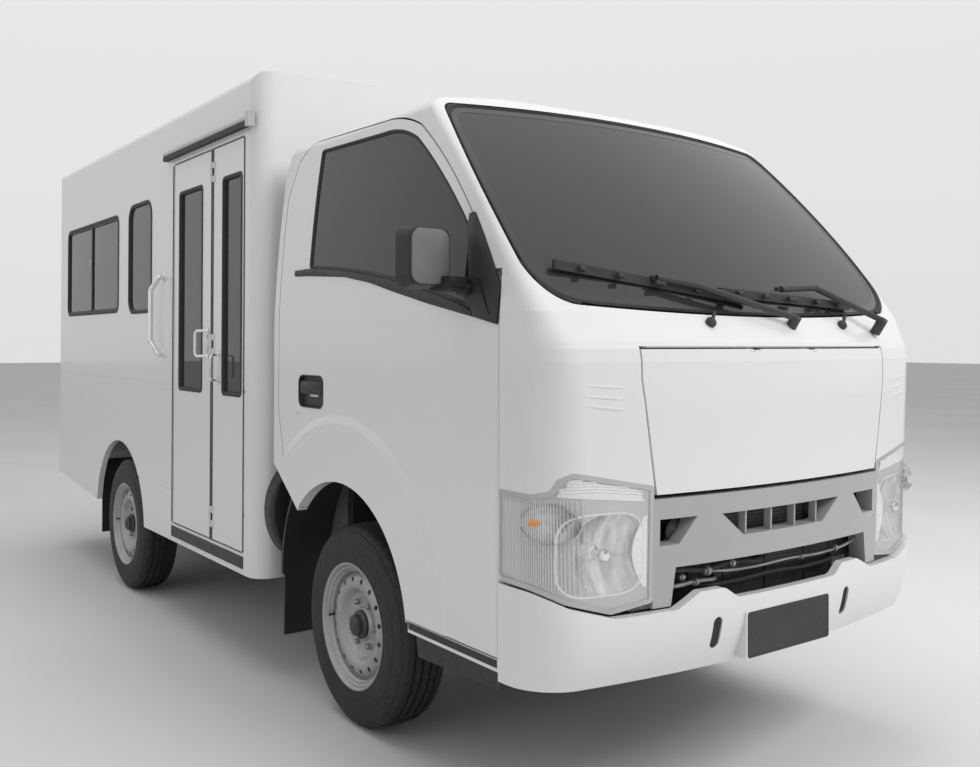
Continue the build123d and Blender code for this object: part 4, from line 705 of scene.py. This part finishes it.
def wall_gasket(name, side, y_range, z_range, radius, body="vehicle", wall=BOX_HALF, width=0.012,
                proud=0.0035, inside=0.0075, end=False):
    """A rubber frame round a window in a side wall, or in the back wall when end is set."""
    centre_a, centre_b = sum(y_range) / 2000, sum(z_range) / 2000
    half_a, half_b = (y_range[1] - y_range[0]) / 2000, (z_range[1] - z_range[0]) / 2000
    rings = []
    for grow, height in ((width, -0.001), (width, proud * 0.6), (width * 0.6, proud), (-0.003, proud),
                         (-0.006, proud * 0.5), (-0.009, -inside), (-0.003, -inside - 0.001)):
        outline = rounded_outline(half_a + grow, half_b + grow, max(radius / 1000 + grow, 0.004), 8)
        across = [(centre_a + a, centre_b + b) for a, b in outline]
        if end:
            rings.append([Vector((a, wall + height, b)) for a, b in across])
        else:
            rings.append([Vector((side * (wall + height), AXLE + a, b)) for a, b in across])
    return piece(name, loft(rings + [rings[0]], caps=False), rubber, body, smooth=50)


windows = {"slider": ((2530, 3620), (1508, 2026), 45), "quarter": ((1960, 2330), (1496, 2050), 70),
           "forward": ((860, 1850), (1508, 2026), 45)}
for side, side_name in SIDES:
    for window_name, (y_range, z_range, radius) in windows.items():
        if window_name == "forward" and side < 0:
            continue
        wall_gasket(f"{window_name}_gasket_{side_name}", side, y_range, z_range, radius)
        if window_name == "quarter":
            continue
        # the two sliding panes: a middle post, tracks along sill and head, and a catch
        middle = sum(y_range) / 2000
        (near, far), (sill, head) = (v / 1000 for v in y_range), (v / 1000 for v in z_range)
        x_in, x_out = side * (BOX_HALF - 0.0078), side * (BOX_HALF - 0.001)
        bars = [slab((x_in, AXLE + y0, z0), (x_out, AXLE + y1, z1)) for y0, y1, z0, z1 in (
            (middle - 0.013, middle + 0.013, sill + 0.006, head - 0.006),
            (near + 0.03, far - 0.03, sill + 0.004, sill + 0.016),
            (near + 0.03, far - 0.03, head - 0.016, head - 0.004))]
        piece(f"{window_name}_tracks_{side_name}", bars, black_plastic, bevel=0.0015)
        catch = slab((x_in, AXLE + middle + 0.022, 1.775),
                     (side * (BOX_HALF + 0.001), AXLE + middle + 0.04, 1.825))
        piece(f"{window_name}_catch_{side_name}", catch, rail_grey, bevel=0.002)

for leaf, y_range in (("front", (800, 1000)), ("rear", (1250, 1541))):
    wall_gasket(f"entry_gasket_{leaf}", -1, y_range, (1122, 2034), 16, f"entry_{leaf}", LEAF_FACE, 0.01,
                0.003, 0.0095)
wall_gasket("rear_door_gasket", 1, (-300, 300), (1508, 2026), 45, "back_door", BACK_WALL, 0.012, 0.0035,
            0.0075, end=True)

# black sill strip under the entry door, and the rubber between its leaves
sill = slab((-(BOX_HALF + 0.004), AXLE + 0.762, 0.418), (-(BOX_HALF - 0.001), AXLE + 1.628, 0.468))
piece("entry_sill_strip", sill, black_plastic, bevel=0.002)
for side, side_name in SIDES:
    xs = sorted((side * (CAB_HALF + 0.0012), side * (CAB_HALF - 0.025)))
    strip = slab((xs[0], AXLE - 0.918, 0.4545), (xs[1], AXLE - 0.458, 0.477))
    piece(f"cab_sill_strip_{side_name}", strip, black_plastic, bevel=0.002)
for number, (y0, y1, body) in enumerate(((1.1275, 1.139, "entry_rear"), (1.109, 1.1205, "entry_front"),
                                        (1.6225, 1.633, "vehicle"), (0.759, 0.7675, "vehicle"))):
    face = LEAF_FACE if body != "vehicle" else BOX_HALF
    strip = slab((-(face + 0.0014), AXLE + y0, 0.486), (-(face - 0.001), AXLE + y1, 2.176))
    piece(f"entry_edge_rubber_{number}", strip, rubber, body)
seam = slab((-(LEAF_FACE - 0.004), AXLE + 1.1215, 0.49), (-(LEAF_FACE - 0.024), AXLE + 1.1265, 2.172))
piece("entry_seam_rubber", seam, rubber, "entry_front")

# ------------------------------------------------------------------ headlamps
lens_skin = surface_of("headlamp_lenses")
BOWL_X, BOWL_Z, BOWL_HALF_X, BOWL_HALF_Z = 674, 782, 124.5, 108.5     # main reflector: middle and half sizes
BOWL_CURVE = 0.1705
for side, side_name in SIDES:
    # main reflector: a dished, faceted bowl that stays behind the lens
    centre = at(side * BOWL_X, -1280, BOWL_Z)
    rings = []
    rows, around = 9, 48
    for row in range(rows + 1):
        share = row / rows
        ring = []
        for i in range(around):
            angle = 2 * pi * i / around
            reach = 0.012 + (0.1255 - 0.012) * share
            a, b = reach * cos(angle), reach * sin(angle)
            soft = (abs(a * 1000 / BOWL_HALF_X) ** 4 + abs(b * 1000 / BOWL_HALF_Z) ** 4) ** 0.25
            squeeze = 1 / soft if soft > 1 else 1
            a, b = a * squeeze, b * squeeze
            facet = 0.0016 * ((i // 3) % 2) * share
            depth = sqrt(max(BOWL_CURVE ** 2 - a * a - b * b, 0)) - facet
            spot = centre + Vector((side * a, depth, b))
            probe = Vector((spot.x, AXLE - 2.0, spot.z))
            spot.y = max(spot.y, onto(lens_skin, probe, (0, 1, 0), 0).y + 0.0085)
            ring.append(spot)
        rings.append(ring)
    piece(f"lamp_bowl_{side_name}", loft(rings, caps=False), reflector, smooth=12)
    bulb_place = turned(centre + Vector((0, BOWL_CURVE, 0)), 90, "X")
    shade = lathe(bulb_place, [(1e-4, 0.0), (0.019, 0.0), (0.019, 0.006), (0.012, 0.01), (0.011, 0.036),
                               (0.017, 0.04), (0.017, 0.05), (0.013, 0.0555), (1e-4, 0.057)], 32)
    piece(f"lamp_bulb_{side_name}", shade, chrome, "vehicle", smooth=40)
    # pale crescent at the bowl's inner side
    outer_line = [Vector((side * 536, 878 - 196 * i / 24)) for i in range(25)]
    arc_line = [Vector((side * (548 + 36 * sin(pi * i / 24)), 874 - 188 * i / 24)) for i in range(25)]
    draped_band(f"lamp_crescent_{side_name}", lens_skin, "front", outer_line, arc_line,
                ((0, -0.0032), (0.5, -0.0026), (1, -0.0032)), lamp_white, closed=False, under=0.006)

    # indicator: reflector shell along the corner with its amber bulb
    back, front = at(side * 852, -1010, 868), at(side * 762, -1176, 868)
    axis = front - back
    length = axis.length
    turn = axis.to_track_quat("Z", "Y").to_matrix().to_4x4()
    turn_place = Matrix.Translation(back) @ turn
    profile = []
    radius = (length / 2) ** 2 / (2 * 0.054) + 0.054 / 2
    for step in range(1, 16):
        along = length * step / 16
        profile.append((sqrt(radius ** 2 - (along - length / 2) ** 2) - (radius - 0.054) - 0.0006, along))
    points, faces = lathe(turn_place, profile, 48)
    inward_side = -axis.cross(Vector((0, 0, 1))).normalized() * side
    shell_faces = [f for f in faces if len(f) == 4 and
                   sum(((points[i] - back).dot(inward_side)) for i in f) / 4 < 0.004]
    piece(f"indicator_bowl_{side_name}", (points, shell_faces), reflector, smooth=20)
    bulb_start = back + axis * 0.24
    amber_place = Matrix.Translation(bulb_start) @ turn
    bulb = lathe(amber_place, [(1e-4, -0.008), (0.009, -0.008), (0.009, 0.0), (0.0075, 0.002), (0.01, 0.011),
                               (0.0095, 0.018), (0.0055, 0.023), (1e-4, 0.0245)], 24)
    piece(f"indicator_bulb_{side_name}", bulb, amber, smooth=50)

    # flutes moulded in the lens round the corner, over the indicator; their glass is whiter and mostly
    # opaque, a painted sheen for the light they catch
    flutes = []
    for column in range(34):
        distance = -1146 + column * 5.9
        bottom = 724 - 44 * (-distance - 950) / 200
        line = [drape(lens_skin, side, distance, bottom + (932 - bottom) * step / 16, -0.0036)
                for step in range(17)]
        flutes.append(bead(line, Vector((side * 0.0016, 0, 0)), Vector((0, 0.002, 0))))
    piece(f"lens_flutes_{side_name}", flutes, flute_glass_painted_sheen, smooth=60)

    # bright lip round the main reflector
    lip_outline = [Vector((side * (BOWL_X + BOWL_HALF_X * copysign(abs(cos(t)) ** 0.5, cos(t))),
                           BOWL_Z + BOWL_HALF_Z * copysign(abs(sin(t)) ** 0.5, sin(t))))
                   for t in (2 * pi * i / 96 for i in range(96))]
    draped_band(f"bowl_lip_{side_name}", lens_skin, "front", inward(lip_outline, -3.0),
                inward(lip_outline, 3.5), ((0, -0.0032), (0.5, -0.0022), (1, -0.0034)), chrome,
                under=0.006)

    # pale moulded panel behind the upper bump
    upper_line = [Vector((side * (566 + 226 * i / 24), min(948 + 0.19 * (226 * i / 24), 984)))
                  for i in range(25)]
    lower_line = [Vector((side * (546 + 262 * i / 24), 915 + 0.1 * (262 * i / 24))) for i in range(25)]
    draped_band(f"lamp_panel_{side_name}", lens_skin, "front", upper_line, lower_line,
                ((0, -0.003), (0.5, -0.0028), (1, -0.003)), lamp_white, closed=False, under=0.006)

    # light steps in the upper bump
    steps_parts = []
    for row in range(5):
        z = 984 - row * 8
        line = []
        for step in range(13):
            x = 560 + (800 - 560) * step / 12 - row * 1.5
            line.append(drape(lens_skin, "front", side * x, z - max(0.0, 700 - x) * 0.11, -0.003))
        steps_parts.append(bead(line, Vector((0, -0.0022, 0)), Vector((0, 0, 0.003))))
    piece(f"lamp_steps_{side_name}", steps_parts, lamp_white, smooth=60)

# ------------------------------------------------------------------ grille interior, bumper and front trim
radiator = []
for row in range(38):
    z = 0.5 + row * 0.0104
    radiator.append(slab((-0.33, AXLE - 1.1425, z), (0.33, AXLE - 1.14, z + 0.0035)))
for x in (-0.338, -0.19, 0.0, 0.19, 0.326):
    radiator.append(slab((x, AXLE - 1.1445, 0.494), (x + 0.012, AXLE - 1.1395, 0.896)))
piece("radiator_fins", radiator, chassis_black, smooth=30)
beam = [slab((-0.512, AXLE - 1.137, 0.905), (0.512, AXLE - 1.095, 0.945)),
        slab((-0.4, AXLE - 1.139, 0.56), (0.4, AXLE - 1.117, 0.59)),
        slab((-0.508, AXLE - 1.12, 0.64), (-0.345, AXLE - 1.105, 0.905)),
        slab((0.345, AXLE - 1.12, 0.64), (0.508, AXLE - 1.105, 0.905))]
piece("grille_backing", beam, chassis_black, bevel=0.003)

# each runs from the radiator or its frame and back: name, radius, material, points
HOSES = (
    ("hose_upper", 0.0085, rubber,
     ((-500, -1113, 700), (-498, -1132, 700), (-410, -1172, 712), (-300, -1176, 700), (-190, -1172, 706),
      (-60, -1176, 698), (-32, -1138, 696))),
    ("pipe_lower", 0.0065, steel,
     ((-500, -1113, 672), (-498, -1134, 672), (-430, -1168, 668), (-345, -1176, 672), (-260, -1172, 668),
      (-230, -1138, 666))),
    ("pipe_long", 0.0045, steel,
     ((-288, -1138, 690), (-260, -1172, 690), (-120, -1184, 684), (60, -1186, 688), (230, -1182, 684),
      (380, -1172, 694), (470, -1140, 705), (480, -1114, 708))),
    ("harness", 0.0075, rubber,
     ((-326, -1137, 656), (-318, -1158, 655), (-200, -1166, 648), (0, -1170, 654), (180, -1168, 648),
      (312, -1158, 656), (326, -1137, 656))))
for name, radius, material, route in HOSES:
    tube(name, [at(*p) for p in route], radius, material)
fittings = []
for x, y, z, size in ((-300, -1180, 697, 15), (-345, -1178, 671, 12), (-190, -1176, 704, 13),
                      (-395, -1172, 690, 11), (120, -1186, 686, 10), (300, -1180, 690, 12)):
    turn = turned(at(x, y, z), 90, "Y")
    h = size / 1000
    fittings.append(lathe(turn, [(1e-4, -h), (h * 0.55, -h), (h * 0.6, -h * 0.5), (h * 0.95, -h * 0.45),
                                 (h * 0.95, h * 0.3), (h * 0.6, h * 0.35), (h * 0.55, h), (1e-4, h)], 18))
piece("pipe_fittings", fittings, steel, smooth=35)
horn_parts = []
for x in (-395, 375):
    turn = turned(at(x, -1150, 812), 90, "X")
    horn_parts.append(lathe(turn, [(1e-4, -0.028), (0.024, -0.028), (0.036, -0.01), (0.04, 0.0),
                                   (0.036, 0.004), (0.02, 0.006), (0.012, 0.012), (0.006, 0.016),
                                   (1e-4, 0.017)], 28))
piece("horns", horn_parts, hub_dark, "vehicle", smooth=40)

bumper_skin = surface_of("front_bumper")
for side, side_name in SIDES:
    outline = [Vector((side * 300 + a, 530 + b)) for a, b in rounded_outline(15.5, 44.5, 15.4, 8)]
    ring_rows = []
    for shrink, depth in ((1.0, 0.004), (0.93, 0.01), (0.86, 0.02), (0.1, 0.022)):
        ring = []
        for spot in outline:
            a = side * 300 + (spot.x - side * 300) * shrink
            b = 530 + (spot.y - 530) * shrink
            probe = Vector(((side * 300 + (24 if a > side * 300 else -24)) / 1000, AXLE - 2.0, b / 1000))
            face_y = onto(bumper_skin, probe, (0, 1, 0), 0).y
            ring.append(Vector((a / 1000, face_y + depth, b / 1000)))
        ring_rows.append(ring)
    piece(f"bumper_slot_{side_name}", loft(ring_rows, caps=True), black_plastic, smooth=40)

plate_y = AXLE - 1.2352
plate = rounded_rings(lambda a, b, y: Vector((a, plate_y + y, 0.507 + b)), 0.19, 0.0655, 0.009,
                      ((0.0, 0.0), (0.0, -0.001), (0.0014, -0.0016), (0.006, -0.0016), (0.0075, -0.001),
                       (0.01, -0.0008)), 0.002)
piece("front_plate_blank", loft(plate), plate_dark, smooth=30)
screws = []
for x in (-0.145, 0.145):
    turn = turned((x, plate_y - 0.0006, 0.507), 90, "X")
    screws.append(lathe(turn, [(1e-4, 0.0), (0.0072, 0.0), (0.0068, 0.0009), (0.0045, 0.0015),
                               (1e-4, 0.0018)], 20))
piece("plate_screws", screws, hub_dark, "vehicle", smooth=50)

nozzles = []
for x in (-262, 381):
    tilt = turned(drape(shell, "front", x, 1398, -0.001), 58, "X")
    nozzles.append(lathe(tilt, [(1e-4, 0.0), (0.015, 0.0), (0.0165, 0.006), (0.015, 0.013), (0.009, 0.018),
                                (1e-4, 0.02)], 24))
    stalk_start = tilt @ Vector((0.0, 0.0, 0.012))
    nozzles.append(rod(stalk_start, stalk_start + Vector((0.02, 0.01, 0.026)), 0.005, 12, 0.0062))
piece("washer_nozzles", nozzles, wiper_black, smooth=45)

# the blocks that hold each wiper blade to its arm, on a line from the blade's tip to its heel
blade_parts = []
for tip, heel in ((Vector((-725, 1556)), Vector((-60, 1470))), (Vector((-160, 1494)), Vector((486, 1466)))):
    for share in (0.12, 0.3, 0.5, 0.7, 0.88):
        spot = tip.lerp(heel, share)
        base = drape(screen, "front", spot.x, spot.y, 0.03)
        along = Vector((heel.x - tip.x, 0, heel.y - tip.y)).normalized()
        size = 0.02 if share == 0.5 else 0.01
        blade_parts.append(rod(base - along * size, base + along * size, 0.0075, 8))
piece("wiper_yokes", blade_parts, wiper_black)

# painted flange behind the lid's gaps, short of the lid
flange = []
lid_corner = ((513, 924), (565, 1243), (565, 1333))
for side in (-1, 1):
    for (x0, z0), (x1, z1) in zip(lid_corner, lid_corner[1:]):
        strip = []
        for step in range(13):
            t = step / 12
            x, z = side * (x0 + (x1 - x0) * t), z0 + (z1 - z0) * t
            face_y = drape(shell, "front", side * (abs(x) + 12), z).y
            strip.append([Vector((x / 1000 + side * off, face_y + depth, z / 1000)) for off, depth in (
                (0.0005, 0.003), (-0.0042, 0.003), (-0.0042, 0.012), (0.0005, 0.012))])
        flange.append(loft(strip))
strip = []
for step in range(41):
    x = -564 + 1128 * step / 40
    face_y = (drape(shell, "front", x, 1345).y + drape(shell, "front", x, 1318).y) / 2
    strip.append([Vector((x / 1000, face_y + depth, z)) for depth, z in (
        (0.004, 1.3335), (0.004, 1.329), (0.014, 1.329), (0.014, 1.3335))])
flange.append(loft(strip))
piece("lid_gap_flange", flange, paint, smooth=30)

# louvre marks pressed in the nose's right corner, mirrored on the left
LOUVRES = (((740, 1230), (612, 1222)), ((740, 1203), (612, 1192)), ((736, 1177), (614, 1164)))
for side, side_name in SIDES:
    marks = []
    for outer_end, inner_end in LOUVRES:
        spots = (Vector(outer_end).lerp(Vector(inner_end), step / 12) for step in range(13))
        line = [drape(shell, "front", side * spot.x, spot.y) for spot in spots]
        swells = [sin(pi * min(1, max(0.04, number / 12))) ** 0.4 for number in range(13)]
        marks.append(bead(line, Vector((0, -0.0022, 0)), Vector((0, 0, 0.0048)), 5, swells))
    piece(f"nose_louvres_{side_name}", marks, paint, smooth=60)

# ------------------------------------------------------------------ entry rail, latch, handles, steps
# black bar over the rail's lower front face: painted shade of the rail's open channel underneath
rail_shade_bar = slab((-(BOX_HALF + 0.027), AXLE + 0.698, 2.207), (-(BOX_HALF + 0.0045), AXLE + 1.704, 2.23))
piece("rail_slot_painted_shade", rail_shade_bar, rubber)
rail_lip = slab((-(BOX_HALF + 0.0285), AXLE + 0.696, 2.232), (-(BOX_HALF - 0.001), AXLE + 1.706, 2.248))
piece("rail_lip", rail_lip, rail_grey, bevel=0.004, segments=3)
latch = [slab((-(LEAF_FACE + 0.01), AXLE + 1.132, 1.285), (-LEAF_FACE + 0.0005, AXLE + 1.158, 1.375)),
         slab((-(LEAF_FACE + 0.0165), AXLE + 1.138, 1.318), (-(LEAF_FACE + 0.009), AXLE + 1.152, 1.352))]
piece("entry_latch", latch, chrome, "entry_rear", bevel=0.002)
bolt_heads = []
for z in (1.654, 1.279):
    turn = turned((-BOX_HALF - 0.0002, AXLE + 1.752, z), -90, "Y")
    bolt_heads.append(lathe(turn, [(0.0125, -0.002), (0.024, -0.002), (0.024, 0.003), (0.02, 0.005),
                                   (0.0125, 0.0055)], 24))
piece("handle_roses", bolt_heads, chrome, smooth=40)
hinge_screws = []
for height in (0.582, 1.33, 2.08):
    for end in (-0.03, 0.03):
        for dz in (-0.008, 0.008):
            spot = Vector((-(LEAF_FACE + 0.0038), AXLE + 1.124 - 0.025, height + end + dz))
            turn = turned(spot, -90, "Y")
            hinge_screws.append(lathe(turn, [(1e-4, -0.001), (0.0032, -0.001), (0.003, 0.0008),
                                             (1e-4, 0.0014)], 12))
piece("entry_hinge_screws", hinge_screws, steel, "entry_front", smooth=50)

step_nose = []
for row in range(6):
    x = -0.842 + row * 0.045
    step_nose.append(slab((x, AXLE + 0.765, 0.4695), (x + 0.012, AXLE + 1.63, 0.473)))
piece("entry_step_ribs", step_nose, aluminium, bevel=0.001)

# ------------------------------------------------------------------ rear: lamps, door handle, lights
TAIL_BANDS = (("stop", 0.905, 1.04, red_lens), ("turn", 0.835, 0.9, amber_lens),
              ("reverse", 0.765, 0.83, clear_lens))
for side, side_name in SIDES:
    for band, low_z, high_z, material in TAIL_BANDS:
        middle = (low_z + high_z) / 2
        rings = rounded_rings(
            lambda a, b, y: Vector((side * 0.7 + a, BACK_WALL + y, middle + b)), 0.047,
            (high_z - low_z) / 2, 0.01, ((0.0, 0.028), (0.0, 0.0345), (0.003, 0.0375), (0.012, 0.039)), 0.01)
        piece(f"tail_{band}_{side_name}", loft(rings), material, smooth=40)
door_plate = slab((-0.372, AXLE + 3.8848, 1.03), (-0.318, AXLE + 3.89, 1.19))
piece("rear_door_plate", door_plate, black_plastic, "back_door", bevel=0.004)
lever = slab((-0.358, AXLE + 3.8895, 1.06), (-0.332, AXLE + 3.906, 1.16))
piece("rear_door_lever", lever, chrome, "back_door", bevel=0.006, segments=3)

# ------------------------------------------------------------------ seats and cushions


def pad(name, low, high, material, replaced, body="vehicle", crown=0.35, face_axis=2, face_sign=1,
        channels=(), channel_axis=0, shear=0.0, waist=0.01, edge=0.03, divisions=(30, 26)):
    """A closed cushion in a box: crowned face with sewn channels, flat back, rounded and pulled-in sides."""
    low, high = Vector(low), Vector(high)
    flat = [i for i in range(3) if i != face_axis]
    na, nb = divisions
    size = high - low

    def spot(u, v, w):
        """u, v across the face from -1 to 1; w from 0 at the back to 1 at the face."""
        along = [0.0, 0.0, 0.0]
        middle_u, middle_v = (low[flat[0]] + high[flat[0]]) / 2, (low[flat[1]] + high[flat[1]]) / 2
        half_u, half_v = size[flat[0]] / 2, size[flat[1]] / 2
        round_w = edge * (1 - sqrt(max(0.0, 1 - (max(0.0, abs(w - 0.5) * 2 - 0.35) / 0.65) ** 2)))
        pull_u = waist * (1 - v ** 4) * (0.5 + 0.5 * w)
        pull_v = waist * (1 - u ** 4) * (0.5 + 0.5 * w)
        along[flat[0]] = middle_u + u * (half_u - (round_w + pull_u) * abs(u) ** 3)
        along[flat[1]] = middle_v + v * (half_v - (round_w + pull_v) * abs(v) ** 3)
        thickness = size[face_axis]
        dome = (1 - abs(u) ** 2.6) * (1 - abs(v) ** 2.6)
        value = thickness * w
        if w > 0.5:
            drop = thickness * crown * (1 - dome) * (w - 0.5) * 2
            groove = 0.0
            position = (u, v)[channel_axis]
            for line in channels:
                groove = max(groove, exp(-((position - line) / 0.028) ** 2))
            drop += 0.012 * groove * (w - 0.5) * 2 * (0.35 + 0.65 * dome)
            value -= drop
        along[face_axis] = (low[face_axis] + value) if face_sign > 0 else (high[face_axis] - value)
        return Vector(along)

    side_levels = (0.0, 0.04, 0.12, 0.25, 0.45, 0.62, 0.78, 0.9, 0.97, 1.0)
    border = [(-1 + 2 * i / na, -1.0) for i in range(na)] + [(1.0, -1 + 2 * i / nb) for i in range(nb)]
    border += [(1 - 2 * i / na, 1.0) for i in range(na)] + [(-1.0, 1 - 2 * i / nb) for i in range(nb)]
    points, faces = [], []
    for w in side_levels:
        points += [spot(u, v, w) for u, v in border]
    count = len(border)
    for row in range(len(side_levels) - 1):
        for i in range(count):
            j = (i + 1) % count
            faces.append((row * count + i, row * count + j, (row + 1) * count + j, (row + 1) * count + i))
    for w in (0.0, 1.0):
        start = len(points)
        points += [spot(-1 + 2 * i / na, -1 + 2 * j / nb, w) for j in range(nb + 1) for i in range(na + 1)]
        for j in range(nb):
            for i in range(na):
                a = start + j * (na + 1) + i
                faces.append((a, a + 1, a + na + 2, a + na + 1))
    points = [Vector((p.x, p.y + shear * (p.z - low[2]), p.z)) for p in points]
    made = piece(name, (points, faces), material, body, smooth=60)
    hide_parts(*replaced)
    return made


SEAT_DECK = 0.905
for seat, (x0, x1) in {"driver": (0.125, 0.685), "passenger": (-0.685, 0.075)}.items():
    lines = (-0.55, 0.55) if seat == "driver" else (-0.62, 0.0, 0.62)
    pad(f"seat_cushion_{seat}", (x0, AXLE - 0.47, SEAT_DECK + 0.012), (x1, AXLE + 0.11, 1.078), seat_fabric,
        ["cab_seats"], crown=0.22, channels=lines, channel_axis=0, edge=0.028)
    pad(f"seat_back_{seat}", (x0 + 0.01, AXLE + 0.055, 1.075), (x1 - 0.01, AXLE + 0.165, 1.5), seat_fabric,
        ["cab_seats"], crown=0.25, face_axis=1, face_sign=-1, channels=lines, channel_axis=0, shear=0.17,
        edge=0.025)
    middles = ((x0 + x1) / 2,) if seat == "driver" else (x0 + 0.19, x1 - 0.19)
    for number, x in enumerate(middles):
        pad(f"head_rest_{seat}_{number}", (x - 0.125, AXLE + 0.148, 1.512), (x + 0.125, AXLE + 0.228, 1.665),
            seat_fabric, ["cab_seats"], crown=0.3, face_axis=1, face_sign=-1, shear=0.12,
            edge=0.024, waist=0.006, divisions=(16, 12))

BENCHES = {"left": (1, 0.72, 3.78, 6), "right": (-1, 1.72, 3.78, 4)}
for bench, (side, y_start, y_end, places) in BENCHES.items():
    step = (y_end - y_start) / places
    for number in range(places):
        y0 = AXLE + y_start + number * step + 0.003
        y1 = AXLE + y_start + (number + 1) * step - 0.003
        xs = sorted((side * 0.427, side * 0.832))
        pad(f"bench_cushion_{bench}_{number}", (xs[0], y0, 1.0805), (xs[1], y1, 1.159), seat_fabric,
            ["bench_cushions"], crown=0.25, channels=(0.0,), channel_axis=1, edge=0.02, divisions=(18, 22))
        xs = sorted((side * 0.759, side * 0.837))
        pad(f"bench_back_{bench}_{number}", (xs[0], y0, 1.192), (xs[1], y1, 1.488), seat_fabric,
            ["bench_cushions"], crown=0.25, face_axis=0, face_sign=-side, channels=(0.0,), channel_axis=0,
            edge=0.02, divisions=(22, 16))

# ------------------------------------------------------------------ floor, light and camera
floor_mat, floor_tree, floor_shader = new_material("studio_floor",
                                                   {"Roughness": 0.9, "Specular IOR Level": 0.1})
soft = noise(floor_tree, 0.6)
floor_tree.links.new(ramp(floor_tree, soft, [(0.3, grey(0.72)), (0.7, grey(0.76))]),
                     floor_shader.inputs["Base Color"])
floor_mesh = bpy.data.meshes.new("studio_floor")
floor_mesh.from_pydata([(-60, -60, 0), (60, -60, 0), (60, 60, 0), (-60, 60, 0)], [], [(0, 1, 2, 3)])
floor = bpy.data.objects.new("studio_floor", floor_mesh)
bpy.context.collection.objects.link(floor)
floor_mesh.materials.append(floor_mat)

world = bpy.data.worlds.new("studio")
bpy.context.scene.world = world
world.use_nodes = True
wt = world.node_tree
background = wt.nodes["Background"]
coords = wt.nodes.new("ShaderNodeTexCoord")
split = wt.nodes.new("ShaderNodeSeparateXYZ")
wt.links.new(coords.outputs["Generated"], split.inputs["Vector"])
sky = ramp(wt, split.outputs["Z"], [(0.0, grey(0.62)), (0.35, grey(0.85)), (1.0, grey(0.8))])
seen = node(wt, "ShaderNodeMixRGB")
light_path = wt.nodes.new("ShaderNodeLightPath")
kind = light_path.outputs["Is Camera Ray"]
for other in ("Is Glossy Ray", "Is Transmission Ray"):
    either = wt.nodes.new("ShaderNodeMath")
    either.operation = "MAXIMUM"
    wt.links.new(kind, either.inputs[0])
    wt.links.new(light_path.outputs[other], either.inputs[1])
    kind = either.outputs["Value"]
wt.links.new(kind, seen.inputs["Fac"])
wt.links.new(sky, seen.inputs["Color1"])
pale = ramp(wt, split.outputs["Z"], [(0.0, grey(1.25)), (0.5, grey(1.42)), (1.0, grey(1.55))])
wt.links.new(pale, seen.inputs["Color2"])
wt.links.new(seen.outputs["Color"], background.inputs["Color"])
background.inputs["Strength"].default_value = 0.6


def area_light(name, place, target, size, power):
    data = bpy.data.lights.new(name, "AREA")
    data.shape = "RECTANGLE"
    data.size, data.size_y = size
    data.energy = power
    lamp = bpy.data.objects.new(name, data)
    bpy.context.collection.objects.link(lamp)
    lamp.location = place
    lamp.visible_glossy = False
    lamp.rotation_euler = (Vector(target) - Vector(place)).to_track_quat("-Z", "Y").to_euler()


# place, target, size in metres, watts
area_light("key", (2.5, -7.5, 6.5), (0, -0.5, 1.0), (6, 4), 400)
area_light("fill", (-8.5, -2.0, 4.5), (0, 0.5, 1.2), (7, 4), 30)
area_light("top", (0, 0.5, 8.0), (0, 0.3, 0.0), (8, 6), 260)

camera_data = bpy.data.cameras.new("camera")
camera_data.sensor_width = 36.0
camera_data.lens = 36.638
camera_data.shift_x = 0.0001
camera_data.shift_y = -0.0538
camera_data.clip_start = 0.05
camera_data.clip_end = 200
camera = bpy.data.objects.new("camera", camera_data)
bpy.context.collection.objects.link(camera)
# its axes, and its place as the matrix's last column
right = Vector((0.8064684, -0.5912718, 0.0025236))
up = Vector((-0.0083545, -0.0071274, 0.9999397))
back = -Vector((0.5912182, 0.8064409, 0.0106878))
camera.matrix_world = Matrix(((right.x, up.x, back.x, -2.472405), (right.y, up.y, back.y, -4.461615),
                              (right.z, up.z, back.z, 1.344705), (0, 0, 0, 1)))
bpy.context.scene.camera = camera
bpy.context.scene.view_settings.view_transform = "Standard"
